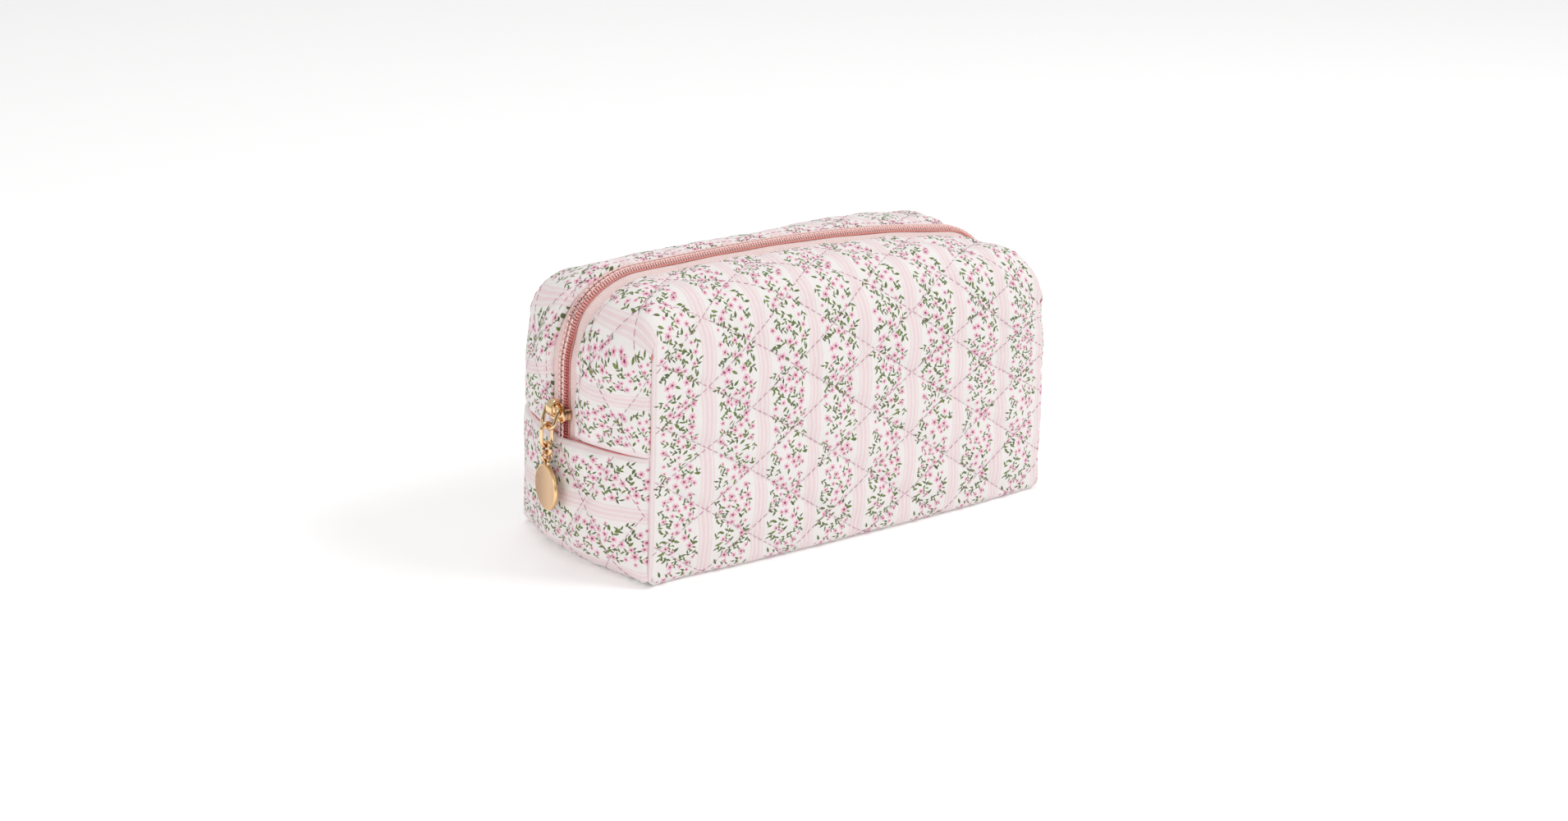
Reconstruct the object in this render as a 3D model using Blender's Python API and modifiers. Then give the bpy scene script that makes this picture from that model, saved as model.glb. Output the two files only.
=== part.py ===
"""A boxy quilted makeup bag with a coil zip over its top, built at real size.

Row frame: metres, +Z up, +X along the zip, -Y the front wall. The origin is on the surface the bag stands on,
below its middle. The zip's slider is at the -X end. The mouth opens as two lips, each of them turning about a fold
in its wall, and the stretches of zip low on the two ends stay put.
"""

import math

import bmesh
import bpy
from mathutils import Matrix, Vector

# Outside of the bag: |x/LENGTH|^6 + |y/WIDTH|^4 + |z/HEIGHT|^power = 1 about the height of the end seams.
HALF_LENGTH = 0.109
HALF_WIDTH = 0.0474
SEAM_HEIGHT = 0.050
HEIGHT_ABOVE_SEAM = 0.0605
HEIGHT_BELOW_SEAM = 0.052
LENGTH_POWER, WIDTH_POWER = 6, 4
POWER_ABOVE, POWER_BELOW = 4, 6
FORM_CUTS = 9

# Layers, as depths below the outside.
QUILT_THICK = 0.0026
LINING_DEPTH = (0.0030, 0.0038)
BINDING_DEPTH = (0.0041, 0.0090)
BINDING_THICK = 0.0012
GAP = 0.0003

# Where the panels meet.
FOLD_HEIGHT = 0.070
FOLD_Y = 0.0475
END_SPLIT_HEIGHT = 0.086
CORNER_X, CORNER_Y = 0.0930, 0.0380
SLOT_HALF_WIDTH = 0.0078
BINDING_CORNER = (0.0900, 0.0355)
BINDING_HEIGHTS = (0.010, 0.084)
END_BINDING_HALF_WIDTH = 0.034
BEYOND = 0.2

# Zip. Its path runs up an end, round an arc and over a slightly crowned top.
ZIP_ARC_RADIUS = 0.030
ZIP_ARC_Z = 0.078
ZIP_CROWN = 0.0025
ZIP_ARC_STEPS = 9
ZIP_TOP_STEPS = 10
COIL_DEPTH = (0.0002, 0.0024)
COIL_HALF_WIDTH = 0.0042
TAPE_DEPTH = (0.0027, 0.0033)
TAPE_HALF_WIDTH = 0.0075
TAPE_INNER_EDGE = 0.0006
COIL_INNER_EDGE = GAP / 2
ZIP_END_HEIGHT = SEAM_HEIGHT + GAP / 2
POST_SLOT_TOP = 0.0785
POST_SLOT_HALF_WIDTH = 0.0011

# Slider, a casting whose plates lie outside and inside the zip.
SLIDER_HEIGHT = 0.060
SLIDER_LENGTH = 0.011
SLIDER_HALF_WIDTH = 0.0057
PLATE_THICK = 0.0010
OUTER_PLATE_X = -0.1102
INNER_PLATE_X = -0.1044
FLANGE_THICK = 0.0010
FLANGE_DEPTH = 0.0024
POST_WIDTH, POST_LENGTH = 0.0014, 0.0022
BRIDGE_THICK = 0.0011
BRIDGE_HALF_WIDTH = 0.0016
BRIDGE_SPAN = 0.0072
BRIDGE_CLEARANCE = 0.0027
BRIDGE_ABOVE_MIDDLE = 0.0016

# Pull: a bail through the bridge, then an oval link, two rings and a disc, each hanging from the one before.
BAIL_WIRE, BAIL_HALF_WIDTH, BAIL_LENGTH = 0.00075, 0.0034, 0.0085
BAIL_TOP = Vector((-0.1117, 0.0, 0.0620))
BAIL_TILT = math.radians(19)
LINK_WIRE, LINK_RADIUS, LINK_LENGTH = 0.0007, 0.0024, 0.0090
RING_WIRE, RING_RADIUS = 0.00075, 0.0025
SMALL_RING_WIRE, SMALL_RING_RADIUS = 0.0006, 0.0020
HANG_GAP = 0.0001
DISC_RADIUS, DISC_THICK, DISC_BEVEL = 0.0088, 0.0016, 0.0003
EYE_HOLE, EYE_RADIUS = 0.0012, 0.0020
EYE_GAP = 0.0003

COLOURS = {
    "quilt": ((0.93, 0.86, 0.85), 0.85, 0.0),
    "lining": ((0.95, 0.84, 0.84), 0.75, 0.0),
    "binding": ((0.90, 0.66, 0.66), 0.85, 0.0),
    "tape": ((0.88, 0.60, 0.58), 0.85, 0.0),
    "coil": ((0.84, 0.50, 0.48), 0.45, 0.0),
    "gold": ((0.86, 0.66, 0.40), 0.22, 1.0),
}


def empty_scene():
    """Removes whatever the scene holds and gives the collections for the bag and for its cutters."""
    for obj in list(bpy.data.objects):
        bpy.data.objects.remove(obj)
    bag = bpy.data.collections.new("makeup_bag")
    helpers = bpy.data.collections.new("cutters")
    for collection in (bag, helpers):
        bpy.context.scene.collection.children.link(collection)
    return bag, helpers


BAG, HELPERS = empty_scene()


def make_materials():
    made = {}
    for name, (colour, roughness, metallic) in COLOURS.items():
        material = bpy.data.materials.new(name)
        material.use_nodes = True
        shader = material.node_tree.nodes["Principled BSDF"]
        shader.inputs["Base Color"].default_value = (*colour, 1.0)
        shader.inputs["Roughness"].default_value = roughness
        shader.inputs["Metallic"].default_value = metallic
        made[name] = material
    return made


MATERIALS = make_materials()


def add(name, data, material=None):
    """A part of the bag with the given mesh or curve."""
    obj = bpy.data.objects.new(name, data)
    BAG.objects.link(obj)
    if material:
        data.materials.clear()
        data.materials.append(MATERIALS[material])
    return obj


def helper(name, data):
    """A cutter or a guide: left out of renders."""
    obj = bpy.data.objects.new(name, data)
    HELPERS.objects.link(obj)
    obj.hide_render = True
    obj.display_type = "WIRE"
    return obj


def mesh_from(bm, name):
    mesh = bpy.data.meshes.new(name)
    bm.to_mesh(mesh)
    bm.free()
    return mesh


def block(name, low, high):
    """A box between two corners, as a mesh."""
    bm = bmesh.new()
    bmesh.ops.create_cube(bm, size=1.0)
    size = [b - a for a, b in zip(low, high)]
    middle = Vector([(a + b) / 2 for a, b in zip(low, high)])
    bm.transform(Matrix.Translation(middle) @ Matrix.Diagonal((*size, 1.0)))
    return mesh_from(bm, name)


def evaluated_mesh(obj, name):
    """The object's shape with its modifiers, as a new mesh in world space, with a curve's caps welded."""
    bpy.context.view_layer.update()
    graph = bpy.context.evaluated_depsgraph_get()
    mesh = bpy.data.meshes.new_from_object(obj.evaluated_get(graph))
    mesh.transform(obj.matrix_world)
    bm = bmesh.new()
    bm.from_mesh(mesh)
    bmesh.ops.remove_doubles(bm, verts=bm.verts, dist=1e-6)
    bm.to_mesh(mesh)
    bm.free()
    mesh.name = name
    return mesh


def boolean(obj, operation, other):
    modifier = obj.modifiers.new(operation.lower(), "BOOLEAN")
    modifier.operation = operation
    modifier.object = other


def joined(name, material, pieces):
    """One solid from several overlapping objects, which are used up."""
    first, *others = pieces
    for other in others:
        boolean(first, "UNION", other)
    mesh = evaluated_mesh(first, name)
    for piece in pieces:
        bpy.data.objects.remove(piece)
    return add(name, mesh, material)


# ---- the bag's outside and its layers ----


def reach(a, b, c):
    """How far the outside lies along a direction given in shares of the half length, half width and height."""
    vertical = POWER_ABOVE if c >= 0 else POWER_BELOW
    low, high = 0.0, 2.0
    for _ in range(40):
        k = (low + high) / 2
        size = abs(a * k) ** LENGTH_POWER + abs(b * k) ** WIDTH_POWER + abs(c * k) ** vertical
        low, high = (k, high) if size < 1 else (low, k)
    return low


def form_point(co, depth):
    """A point of the cube from -1 to 1 moved to the bag's surface, that depth below the outside."""
    k = reach(*co)
    if co.z >= 0:
        z = SEAM_HEIGHT + (HEIGHT_ABOVE_SEAM - depth) * co.z * k
    else:
        flat_bottomed = max(SEAM_HEIGHT + HEIGHT_BELOW_SEAM * co.z * k, 0.0)
        z = depth + flat_bottomed * (SEAM_HEIGHT - depth) / SEAM_HEIGHT
    return Vector(((HALF_LENGTH - depth) * co.x * k, (HALF_WIDTH - depth) * co.y * k, z))


def closed_form(name, depth):
    """The whole closed surface at one depth."""
    bm = bmesh.new()
    bmesh.ops.create_cube(bm, size=2.0)
    bmesh.ops.subdivide_edges(bm, edges=bm.edges, cuts=FORM_CUTS, use_grid_fill=True)
    bmesh.ops.triangulate(bm, faces=bm.faces, quad_method="FIXED")
    for vertex in bm.verts:
        vertex.co = form_point(vertex.co, depth)
    bmesh.ops.recalc_face_normals(bm, faces=bm.faces)
    return helper(name, mesh_from(bm, name))


def layer(name, depths):
    """The mesh of the whole layer between two depths, hollow inside."""
    outside = closed_form(name + "_outside", depths[0])
    inside = closed_form(name + "_inside", depths[1])
    boolean(outside, "DIFFERENCE", inside)
    mesh = evaluated_mesh(outside, name)
    for obj in (outside, inside):
        bpy.data.objects.remove(obj)
    return mesh


def panel(name, layer_mesh, material, keep, remove=()):
    """The part of a layer inside the box keep and outside the boxes remove. Boxes are (low, high) corners."""
    obj = add(name, layer_mesh.copy(), material)
    boolean(obj, "INTERSECT", helper(name + "_keep", block(name + "_keep", *keep)))
    for number, box in enumerate(remove):
        cutter = helper(f"{name}_cut_{number}", block(f"{name}_cut_{number}", *box))
        boolean(obj, "DIFFERENCE", cutter)
    return obj


def end_box(side, top, grown=0.0):
    """The corner-to-corner region of one end, up to a height."""
    x = sorted((side * (CORNER_X - grown), side * BEYOND))
    return (x[0], -CORNER_Y - grown, -BEYOND), (x[1], CORNER_Y + grown, top)


def ranged(y_one, y_two, z_low, z_high, x_low=-BEYOND, x_high=BEYOND):
    """Box corners from two y values in either order."""
    return (x_low, min(y_one, y_two), z_low), (x_high, max(y_one, y_two), z_high)


def cover(prefix, mesh, material, split_ends):
    """The pieces of the quilted outside or of the lining: a body, two lips and the ends."""
    ends_low = [end_box(side, BEYOND, GAP) for side in (-1, 1)]
    ends_high = [end_box(side, END_SPLIT_HEIGHT + GAP / 2, GAP) for side in (-1, 1)]
    panel(prefix + "_body_panel", mesh, material, ranged(-BEYOND, BEYOND, -BEYOND, FOLD_HEIGHT - GAP / 2), ends_low)
    for side, name in ((-1, "front"), (1, "back")):
        keep = ranged(side * SLOT_HALF_WIDTH, side * BEYOND, FOLD_HEIGHT + GAP / 2, BEYOND)
        panel(f"{prefix}_{name}_lip", mesh, material, keep, ends_high)
    for side, name in ((-1, "left"), (1, "right")):
        low, high = end_box(side, END_SPLIT_HEIGHT - GAP / 2)
        if not split_ends:
            slot = ranged(-SLOT_HALF_WIDTH, SLOT_HALF_WIDTH, SEAM_HEIGHT, BEYOND)
            panel(f"{prefix}_{name}_end", mesh, material, (low, high), [slot])
            continue
        panel(f"{prefix}_{name}_end_lower", mesh, material, (low, (high[0], high[1], SEAM_HEIGHT - GAP / 2)))
        for across, half in ((-1, "front"), (1, "back")):
            keep = ranged(
                across * SLOT_HALF_WIDTH, across * CORNER_Y, SEAM_HEIGHT + GAP / 2, high[2], low[0], high[0]
            )
            panel(f"{prefix}_{name}_end_upper_{half}", mesh, material, keep)


def seam_bindings():
    """The folded tape over the raw seam edges inside: one across each end and one up each corner."""
    mesh = layer("binding_layer", BINDING_DEPTH)
    for side, name in ((-1, "left"), (1, "right")):
        low, high = end_box(side, SEAM_HEIGHT - GAP)
        keep = (
            (low[0], -END_BINDING_HALF_WIDTH, SEAM_HEIGHT - GAP - BINDING_THICK),
            (high[0], END_BINDING_HALF_WIDTH, high[2]),
        )
        panel(f"{name}_end_seam_binding", mesh, "binding", keep)
        for across, half in ((-1, "front"), (1, "back")):
            part = f"{name}_{half}_corner_binding"
            obj = add(part, mesh.copy(), "binding")
            reach_in, tall = 0.012, BINDING_HEIGHTS[1] - BINDING_HEIGHTS[0]
            strip = helper(
                part + "_keep",
                block(part + "_keep", (-reach_in, -BINDING_THICK / 2, -tall / 2), (reach_in, BINDING_THICK / 2, tall / 2)),
            )
            strip.location = (side * BINDING_CORNER[0], across * BINDING_CORNER[1], sum(BINDING_HEIGHTS) / 2)
            strip.rotation_euler.z = side * across * math.radians(45)
            boolean(obj, "INTERSECT", strip)


# ---- the zip ----


def zip_path(depth, start_angle=0.0):
    """(x, z) points over the top from the left arc to the right one, that depth below the outside."""
    radius = ZIP_ARC_RADIUS - depth
    arc_x = HALF_LENGTH - ZIP_ARC_RADIUS
    left = []
    for step in range(ZIP_ARC_STEPS + 1):
        angle = start_angle + (math.pi / 2 - start_angle) * step / ZIP_ARC_STEPS
        left.append((-arc_x - radius * math.cos(angle), ZIP_ARC_Z + radius * math.sin(angle)))
    top = []
    for step in range(1, ZIP_TOP_STEPS):
        share = 2 * step / ZIP_TOP_STEPS - 1
        top.append((arc_x * share, ZIP_ARC_Z + radius + ZIP_CROWN * (1 - share * share)))
    return left + top + [(-x, z) for x, z in reversed(left)]


def band(name, outline, y_low, y_high):
    """A flat outline in (x, z), extruded across the bag from y_low to y_high."""
    curve = bpy.data.curves.new(name, "CURVE")
    curve.dimensions = "2D"
    curve.fill_mode = "BOTH"
    curve.extrude = (y_high - y_low) / 2
    spline = curve.splines.new("POLY")
    spline.points.add(len(outline) - 1)
    for point, (x, z) in zip(spline.points, outline):
        point.co = (x, z, 0.0, 1.0)
    spline.use_cyclic_u = True
    obj = helper(name + "_outline", curve)
    obj.rotation_euler.x = math.pi / 2
    obj.location.y = (y_low + y_high) / 2
    mesh = evaluated_mesh(obj, name)
    bpy.data.objects.remove(obj)
    return mesh


def lip_strip(name, material, depths, y_low, y_high):
    """One side of the zip where it opens, from arc to arc."""
    start = math.asin((END_SPLIT_HEIGHT - ZIP_ARC_Z) / ZIP_ARC_RADIUS)
    outline = zip_path(depths[0], start) + zip_path(depths[1], start)[::-1]
    add(name, band(name, outline, y_low, y_high), material)


def end_strip(name, material, depths, half_width, side):
    """The closed stretch of zip on one end, from the end seam up to where the lips part."""
    top = math.asin((END_SPLIT_HEIGHT - ZIP_ARC_Z) / ZIP_ARC_RADIUS) - GAP / ZIP_ARC_RADIUS
    arc_x = HALF_LENGTH - ZIP_ARC_RADIUS
    edges = []
    for depth in depths:
        radius = ZIP_ARC_RADIUS - depth
        edge = [(arc_x + radius, ZIP_END_HEIGHT)]
        for angle in (0.0, top / 2, top):
            edge.append((arc_x + radius * math.cos(angle), ZIP_ARC_Z + radius * math.sin(angle)))
        edges.append(edge)
    outline = [(side * x, z) for x, z in edges[0] + edges[1][::-1]]
    obj = add(name, band(name, outline, -half_width, half_width), material)
    if side < 0:
        slot = ranged(-POST_SLOT_HALF_WIDTH, POST_SLOT_HALF_WIDTH, 0.0, POST_SLOT_TOP)
        boolean(obj, "DIFFERENCE", helper(name + "_post_slot", block(name + "_post_slot", *slot)))


def zip_strips():
    for side, name in ((-1, "front"), (1, "back")):
        tape = sorted((side * TAPE_INNER_EDGE, side * TAPE_HALF_WIDTH))
        coil = sorted((side * COIL_INNER_EDGE, side * COIL_HALF_WIDTH))
        lip_strip(f"{name}_zip_tape", "tape", TAPE_DEPTH, *tape)
        lip_strip(f"{name}_zip_coil", "coil", COIL_DEPTH, *coil)
    for side, name in ((-1, "left"), (1, "right")):
        end_strip(f"{name}_end_zip_tape", "tape", TAPE_DEPTH, TAPE_HALF_WIDTH, side)
        end_strip(f"{name}_end_zip_coil", "coil", COIL_DEPTH, COIL_HALF_WIDTH, side)


# ---- the slider and its pull ----


def rounded_plate(name, x_outer, half_width, length):
    """A slider plate in the YZ plane with rounded corners, its outer face at x_outer."""
    obj = helper(
        name,
        block(
            name,
            (x_outer, -half_width, SLIDER_HEIGHT - length / 2),
            (x_outer + PLATE_THICK, half_width, SLIDER_HEIGHT + length / 2),
        ),
    )
    bevel = obj.modifiers.new("corners", "BEVEL")
    bevel.width = PLATE_THICK * 0.4
    bevel.segments = 2
    return obj


def zip_slider():
    low_z = SLIDER_HEIGHT - SLIDER_LENGTH / 2
    high_z = SLIDER_HEIGHT + SLIDER_LENGTH / 2
    plate_back = OUTER_PLATE_X + PLATE_THICK
    pieces = [rounded_plate("outer_plate", OUTER_PLATE_X, SLIDER_HALF_WIDTH, SLIDER_LENGTH)]
    for side in (-1, 1):
        y = sorted((side * (SLIDER_HALF_WIDTH - FLANGE_THICK), side * SLIDER_HALF_WIDTH * 0.98))
        low = (plate_back - PLATE_THICK / 2, y[0], low_z + PLATE_THICK)
        high = (plate_back + FLANGE_DEPTH, y[1], high_z - PLATE_THICK)
        pieces.append(helper("flange", block("flange", low, high)))
    post = block(
        "post",
        (plate_back - PLATE_THICK / 2, -POST_WIDTH / 2, low_z + PLATE_THICK),
        (INNER_PLATE_X - PLATE_THICK / 2, POST_WIDTH / 2, low_z + PLATE_THICK + POST_LENGTH),
    )
    pieces.append(helper("post", post))
    pieces.append(rounded_plate("inner_plate", INNER_PLATE_X - PLATE_THICK, SLIDER_HALF_WIDTH * 0.85, SLIDER_LENGTH))
    pieces.append(helper("bridge", bridge_mesh()))
    joined("zip_slider", "gold", pieces)


def bridge_mesh():
    """The arch on the outer plate that holds the bail."""
    middle = SLIDER_HEIGHT + BRIDGE_ABOVE_MIDDLE
    foot = OUTER_PLATE_X + PLATE_THICK / 2
    half = BRIDGE_SPAN / 2
    top = OUTER_PLATE_X - BRIDGE_CLEARANCE - BRIDGE_THICK
    under = OUTER_PLATE_X - BRIDGE_CLEARANCE
    outer = [(foot, middle - half), (top + half / 2, middle - half), (top, middle - half / 2)]
    inner_half = half - BRIDGE_THICK
    inner = [
        (foot, middle - inner_half),
        (under + inner_half / 2, middle - inner_half),
        (under, middle - inner_half / 2),
    ]
    outline = outer + [(x, 2 * middle - z) for x, z in reversed(outer)]
    outline += inner_side(inner, middle)
    return band("bridge", outline, -BRIDGE_HALF_WIDTH, BRIDGE_HALF_WIDTH)


def inner_side(inner, middle):
    """The bridge's underside, walked back from its upper foot to its lower one."""
    return [(x, 2 * middle - z) for x, z in inner] + list(reversed(inner))


def wire_loop(name, points, wire):
    """A closed loop of round wire through world points."""
    curve = bpy.data.curves.new(name, "CURVE")
    curve.dimensions = "3D"
    curve.bevel_depth = wire
    curve.bevel_resolution = 2
    spline = curve.splines.new("POLY")
    spline.points.add(len(points) - 1)
    for point, co in zip(spline.points, points):
        point.co = (*co, 1.0)
    spline.use_cyclic_u = True
    return add(name, curve, "gold")


def stadium(half_width, radius, length, steps=6):
    """(across, down) points of a rounded loop: its top is at 0 and its bottom at length."""
    corners = (
        (half_width - radius, radius, -math.pi / 2),
        (half_width - radius, length - radius, 0.0),
        (radius - half_width, length - radius, math.pi / 2),
        (radius - half_width, radius, math.pi),
    )
    points = []
    for across, down, start in corners:
        for step in range(steps + 1):
            angle = start + math.pi / 2 * step / steps
            point = (across + radius * math.cos(angle), down + radius * math.sin(angle))
            if not points or math.dist(point, points[-1]) > 1e-6:
                points.append(point)
    if math.dist(points[0], points[-1]) < 1e-6:
        points.pop()
    return points


def torus(name, centre, radius, wire, turned):
    """A ring: in the YZ plane, or in the XZ plane if turned."""
    rotation = (math.pi / 2, 0.0, 0.0) if turned else (0.0, math.pi / 2, 0.0)
    bpy.ops.mesh.primitive_torus_add(
        major_radius=radius,
        minor_radius=wire,
        major_segments=20,
        minor_segments=8,
        location=centre,
        rotation=rotation,
    )
    obj = bpy.context.object
    obj.name = name
    for collection in list(obj.users_collection):
        collection.objects.unlink(obj)
    BAG.objects.link(obj)
    obj.data.materials.append(MATERIALS["gold"])
    obj.data.shade_smooth()


def cylinder(name, centre, radius, length, sides):
    """A cylinder along X."""
    bm = bmesh.new()
    bmesh.ops.create_cone(bm, cap_ends=True, segments=sides, radius1=radius, radius2=radius, depth=length)
    bm.transform(Matrix.Translation(centre) @ Matrix.Rotation(math.pi / 2, 4, "Y"))
    return helper(name, mesh_from(bm, name))


def pull():
    """Bail, oval link, two rings and a disc. Each hangs a small gap clear of the wire that holds it.

    Gives the pivots of the five, from the bail down.
    """
    down = Vector((-math.sin(BAIL_TILT), 0.0, -math.cos(BAIL_TILT)))
    across = Vector((0.0, 1.0, 0.0))
    loop = stadium(BAIL_HALF_WIDTH, BAIL_HALF_WIDTH * 0.6, BAIL_LENGTH)
    wire_loop("pull_bail", [BAIL_TOP + across * a + down * d for a, d in loop], BAIL_WIRE)
    held = BAIL_TOP + down * BAIL_LENGTH
    x = held.x
    link_top = held.z + BAIL_WIRE + HANG_GAP + LINK_WIRE
    loop = stadium(LINK_RADIUS, LINK_RADIUS, LINK_LENGTH)
    wire_loop("oval_link", [(x + a, 0.0, link_top - d) for a, d in loop], LINK_WIRE)
    ring_z = link_top - LINK_LENGTH + LINK_WIRE + HANG_GAP + RING_WIRE - RING_RADIUS
    torus("jump_ring", (x, 0.0, ring_z), RING_RADIUS, RING_WIRE, False)
    small_z = ring_z - RING_RADIUS + RING_WIRE + HANG_GAP + SMALL_RING_WIRE - SMALL_RING_RADIUS
    torus("small_ring", (x, 0.0, small_z), SMALL_RING_RADIUS, SMALL_RING_WIRE, True)
    eye_z = small_z - SMALL_RING_RADIUS + SMALL_RING_WIRE + EYE_GAP - EYE_HOLE
    disc_z = eye_z - EYE_RADIUS - DISC_RADIUS + DISC_THICK / 2
    disc = cylinder("disc_blank", (x, 0.0, disc_z), DISC_RADIUS, DISC_THICK, 40)
    bevel = disc.modifiers.new("rim", "BEVEL")
    bevel.width = DISC_BEVEL
    bevel.segments = 2
    bevel.limit_method = "ANGLE"
    eye = cylinder("eye", (x, 0.0, eye_z), EYE_RADIUS, DISC_THICK * 0.75, 24)
    neck = helper(
        "neck",
        block(
            "neck",
            (x - DISC_THICK * 0.3, -EYE_RADIUS * 0.8, disc_z + DISC_RADIUS - EYE_RADIUS),
            (x + DISC_THICK * 0.3, EYE_RADIUS * 0.8, eye_z - EYE_HOLE * 1.1),
        ),
    )
    hole = cylinder("eye_hole", (x, 0.0, eye_z), EYE_HOLE, DISC_THICK * 3, 24)
    obj = joined("pull_disc", "gold", [disc, eye, neck])
    boolean(obj, "DIFFERENCE", hole)
    heights = (link_top - LINK_LENGTH, ring_z - RING_RADIUS, small_z - SMALL_RING_RADIUS)
    return [BAIL_TOP, held] + [Vector((x, 0.0, z)) for z in heights]


# ---- joints ----


def pivot(name, at, pieces, parent=None):
    """An empty on a joint's axis that carries the named pieces, and that hangs from another empty if given."""
    empty = bpy.data.objects.new(name, None)
    BAG.objects.link(empty)
    empty.empty_display_size = 0.01
    empty.location = at
    if parent:
        empty.parent = parent
        empty.matrix_parent_inverse = Matrix.Translation(-Vector(parent["world_place"]))
    empty["world_place"] = tuple(at)
    for piece in pieces:
        obj = bpy.data.objects[piece]
        obj.parent = empty
        obj.matrix_parent_inverse = Matrix.Translation(-Vector(at))
    return empty


def rig(pull_pivots):
    """Puts each moving piece on the axis it turns about or slides along."""
    for side, name in ((-1, "front"), (1, "back")):
        pieces = [f"quilted_{name}_lip", f"lining_{name}_lip", f"{name}_zip_tape", f"{name}_zip_coil"]
        pivot(f"mouth_{name}", Vector((0.0, side * FOLD_Y, FOLD_HEIGHT)), pieces)
    carrier = pivot("zip_slide", Vector((OUTER_PLATE_X, 0.0, SLIDER_HEIGHT)), ["zip_slider"])
    names = ("pull_bail", "oval_link", "jump_ring", "small_ring", "pull_disc")
    for name, at in zip(names, pull_pivots):
        carrier = pivot(name + "_swing", at, [name], carrier)


cover("quilted", layer("quilt_layer", (0.0, QUILT_THICK)), "quilt", True)
cover("lining", layer("lining_layer", LINING_DEPTH), "lining", False)
seam_bindings()
zip_strips()
zip_slider()
rig(pull())
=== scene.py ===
"""The quilted makeup bag as it looks: printed, quilted cotton over a coil zip, with a gold slider and pull.

Shapes are worked out in millimetres in the row frame and put in metres when a mesh is made. The outer fabric
is one sheet for each half of the bag, from the zip's edge over the top and down the wall to the middle of the
bottom, with the two upper end pieces on it. Each point of a sheet carries its place on the flat cloth, (u, v)
in millimetres: u runs along the zip and down the ends, v across from the zip's edge. Print, quilting and
stitches all follow (u, v).
"""

import functools
import math

import bmesh
import bpy
import numpy as np
from mathutils import Matrix, Vector, noise
from mathutils.bvhtree import BVHTree


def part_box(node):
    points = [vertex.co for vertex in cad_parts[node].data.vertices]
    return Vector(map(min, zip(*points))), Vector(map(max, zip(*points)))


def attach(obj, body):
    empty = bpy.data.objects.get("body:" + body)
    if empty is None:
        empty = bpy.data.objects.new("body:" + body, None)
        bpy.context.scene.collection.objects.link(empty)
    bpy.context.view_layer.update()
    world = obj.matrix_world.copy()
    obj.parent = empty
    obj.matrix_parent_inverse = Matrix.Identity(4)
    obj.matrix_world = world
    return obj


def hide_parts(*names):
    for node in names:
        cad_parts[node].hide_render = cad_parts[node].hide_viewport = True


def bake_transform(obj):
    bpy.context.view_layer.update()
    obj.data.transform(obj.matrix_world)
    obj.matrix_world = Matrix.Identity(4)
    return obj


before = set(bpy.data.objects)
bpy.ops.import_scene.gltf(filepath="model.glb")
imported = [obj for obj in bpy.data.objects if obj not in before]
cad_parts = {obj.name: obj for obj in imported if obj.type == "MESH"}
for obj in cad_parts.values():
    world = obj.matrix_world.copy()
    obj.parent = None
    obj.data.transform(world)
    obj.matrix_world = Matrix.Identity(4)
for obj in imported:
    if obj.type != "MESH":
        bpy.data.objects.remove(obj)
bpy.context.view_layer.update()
MM = 0.001

# The bag's body, all in millimetres.
ZIP_EDGE = 7.8
SEAM_Y = 41.5
SEAM_X = 97.0
END_X = 109.0
END_SEAM_Z = 50.0
ARC_START_Z = 76.0
ARC_R = 32.6
TOP_Z = 109.6
TOP_CROWN = 1.0
CORNER_Z = 90.0
BELLY = 6.0
SHOULDER_Y = 27.5
SHOULDER_R = 20.0
SHOULDER_DROP = 1.0
CORNER_DROP = 5.0
RIDGE_DROP = 10.3
RIDGE_SHARE = 0.699
BOTTOM_R = (2.6, 2.2)
END_BOTTOM_R = 15.0
FABRIC = 1.5
ZIP_ROLL = 1.1
CORNER_ROLL = 2.4
CORNER_OUT = (0.64, 0.77)
END_TUCK_X = 92.5

# Where the end panels lie on the flat cloth: u = END_U - z and v = END_V + y.
END_U = 196.7
END_V = 35.9

# How a sheet is made: depth inside the outside, coarseness, whether it is quilted, and the distances from a
# sewn edge at which its grid has extra lines.
FINE = (0.25, 0.6, 1.1, 1.8, 2.7)
OUTER = (0.0, 1, True, FINE)
INNER = (2.9, 2.4, False, (0.8, 2.0))

# Print and quilting on the flat cloth.
STRIPE_PITCH = 24.0
STRIPE_U = -73.5
STRIPE_HALF = 3.25
COTTON = (235, 232, 229)
STRIPE_PINK = (233, 208, 211)
QUILT_U, QUILT_V = -73.2, 59.9
QUILT_HALF_U, QUILT_HALF_V = 19.2, 12.75
QUILT_SPACING = 2 * QUILT_HALF_U * QUILT_HALF_V / math.hypot(QUILT_HALF_U, QUILT_HALF_V)
PUFF = 1.15
PUFF_REACH = 3.6
TOPSTITCH = 3.2
STITCH_RADII = (0.07, 0.11, 0.11, 0.07)
STITCH_SINK = 0.12
COIL_PITCH = 1.15
COIL_RADII = (0.32, 0.38, 0.42, 0.42, 0.38, 0.32)
COIL_STITCH_RADII = (0.2, 0.28, 0.28, 0.2)

# The slider and its pull hang on the left end.
SLIDER_FACE_X = -110.2
POST_END_X = -105.0
BRIDGE_Z = 60.9
BAIL_TOP = (-111.7, 0.0, 62.0)
BAIL_TILT = 19.0
BAIL_LENGTH = 8.5
LINK_LENGTH, LINK_WIRE = 9.0, 0.7
RING_R, RING_WIRE = 2.5, 0.75
SMALL_R, SMALL_WIRE = 2.0, 0.6
DISC_TURN = -9.0

# Cloth simulation: it runs with 10 mm as its unit.
SIM_SCALE = 0.1
SIM_EXCESS = 0.022
SIM_FRAMES = 14
SIM_CAP = 1.0


def smooth(t):
    t = np.clip(t, 0.0, 1.0)
    return t * t * (3 - 2 * t)


def stack(*parts):
    """Coordinates given as grids, rows or single numbers, as points."""
    return np.stack(np.broadcast_arrays(*parts), -1)


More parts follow.
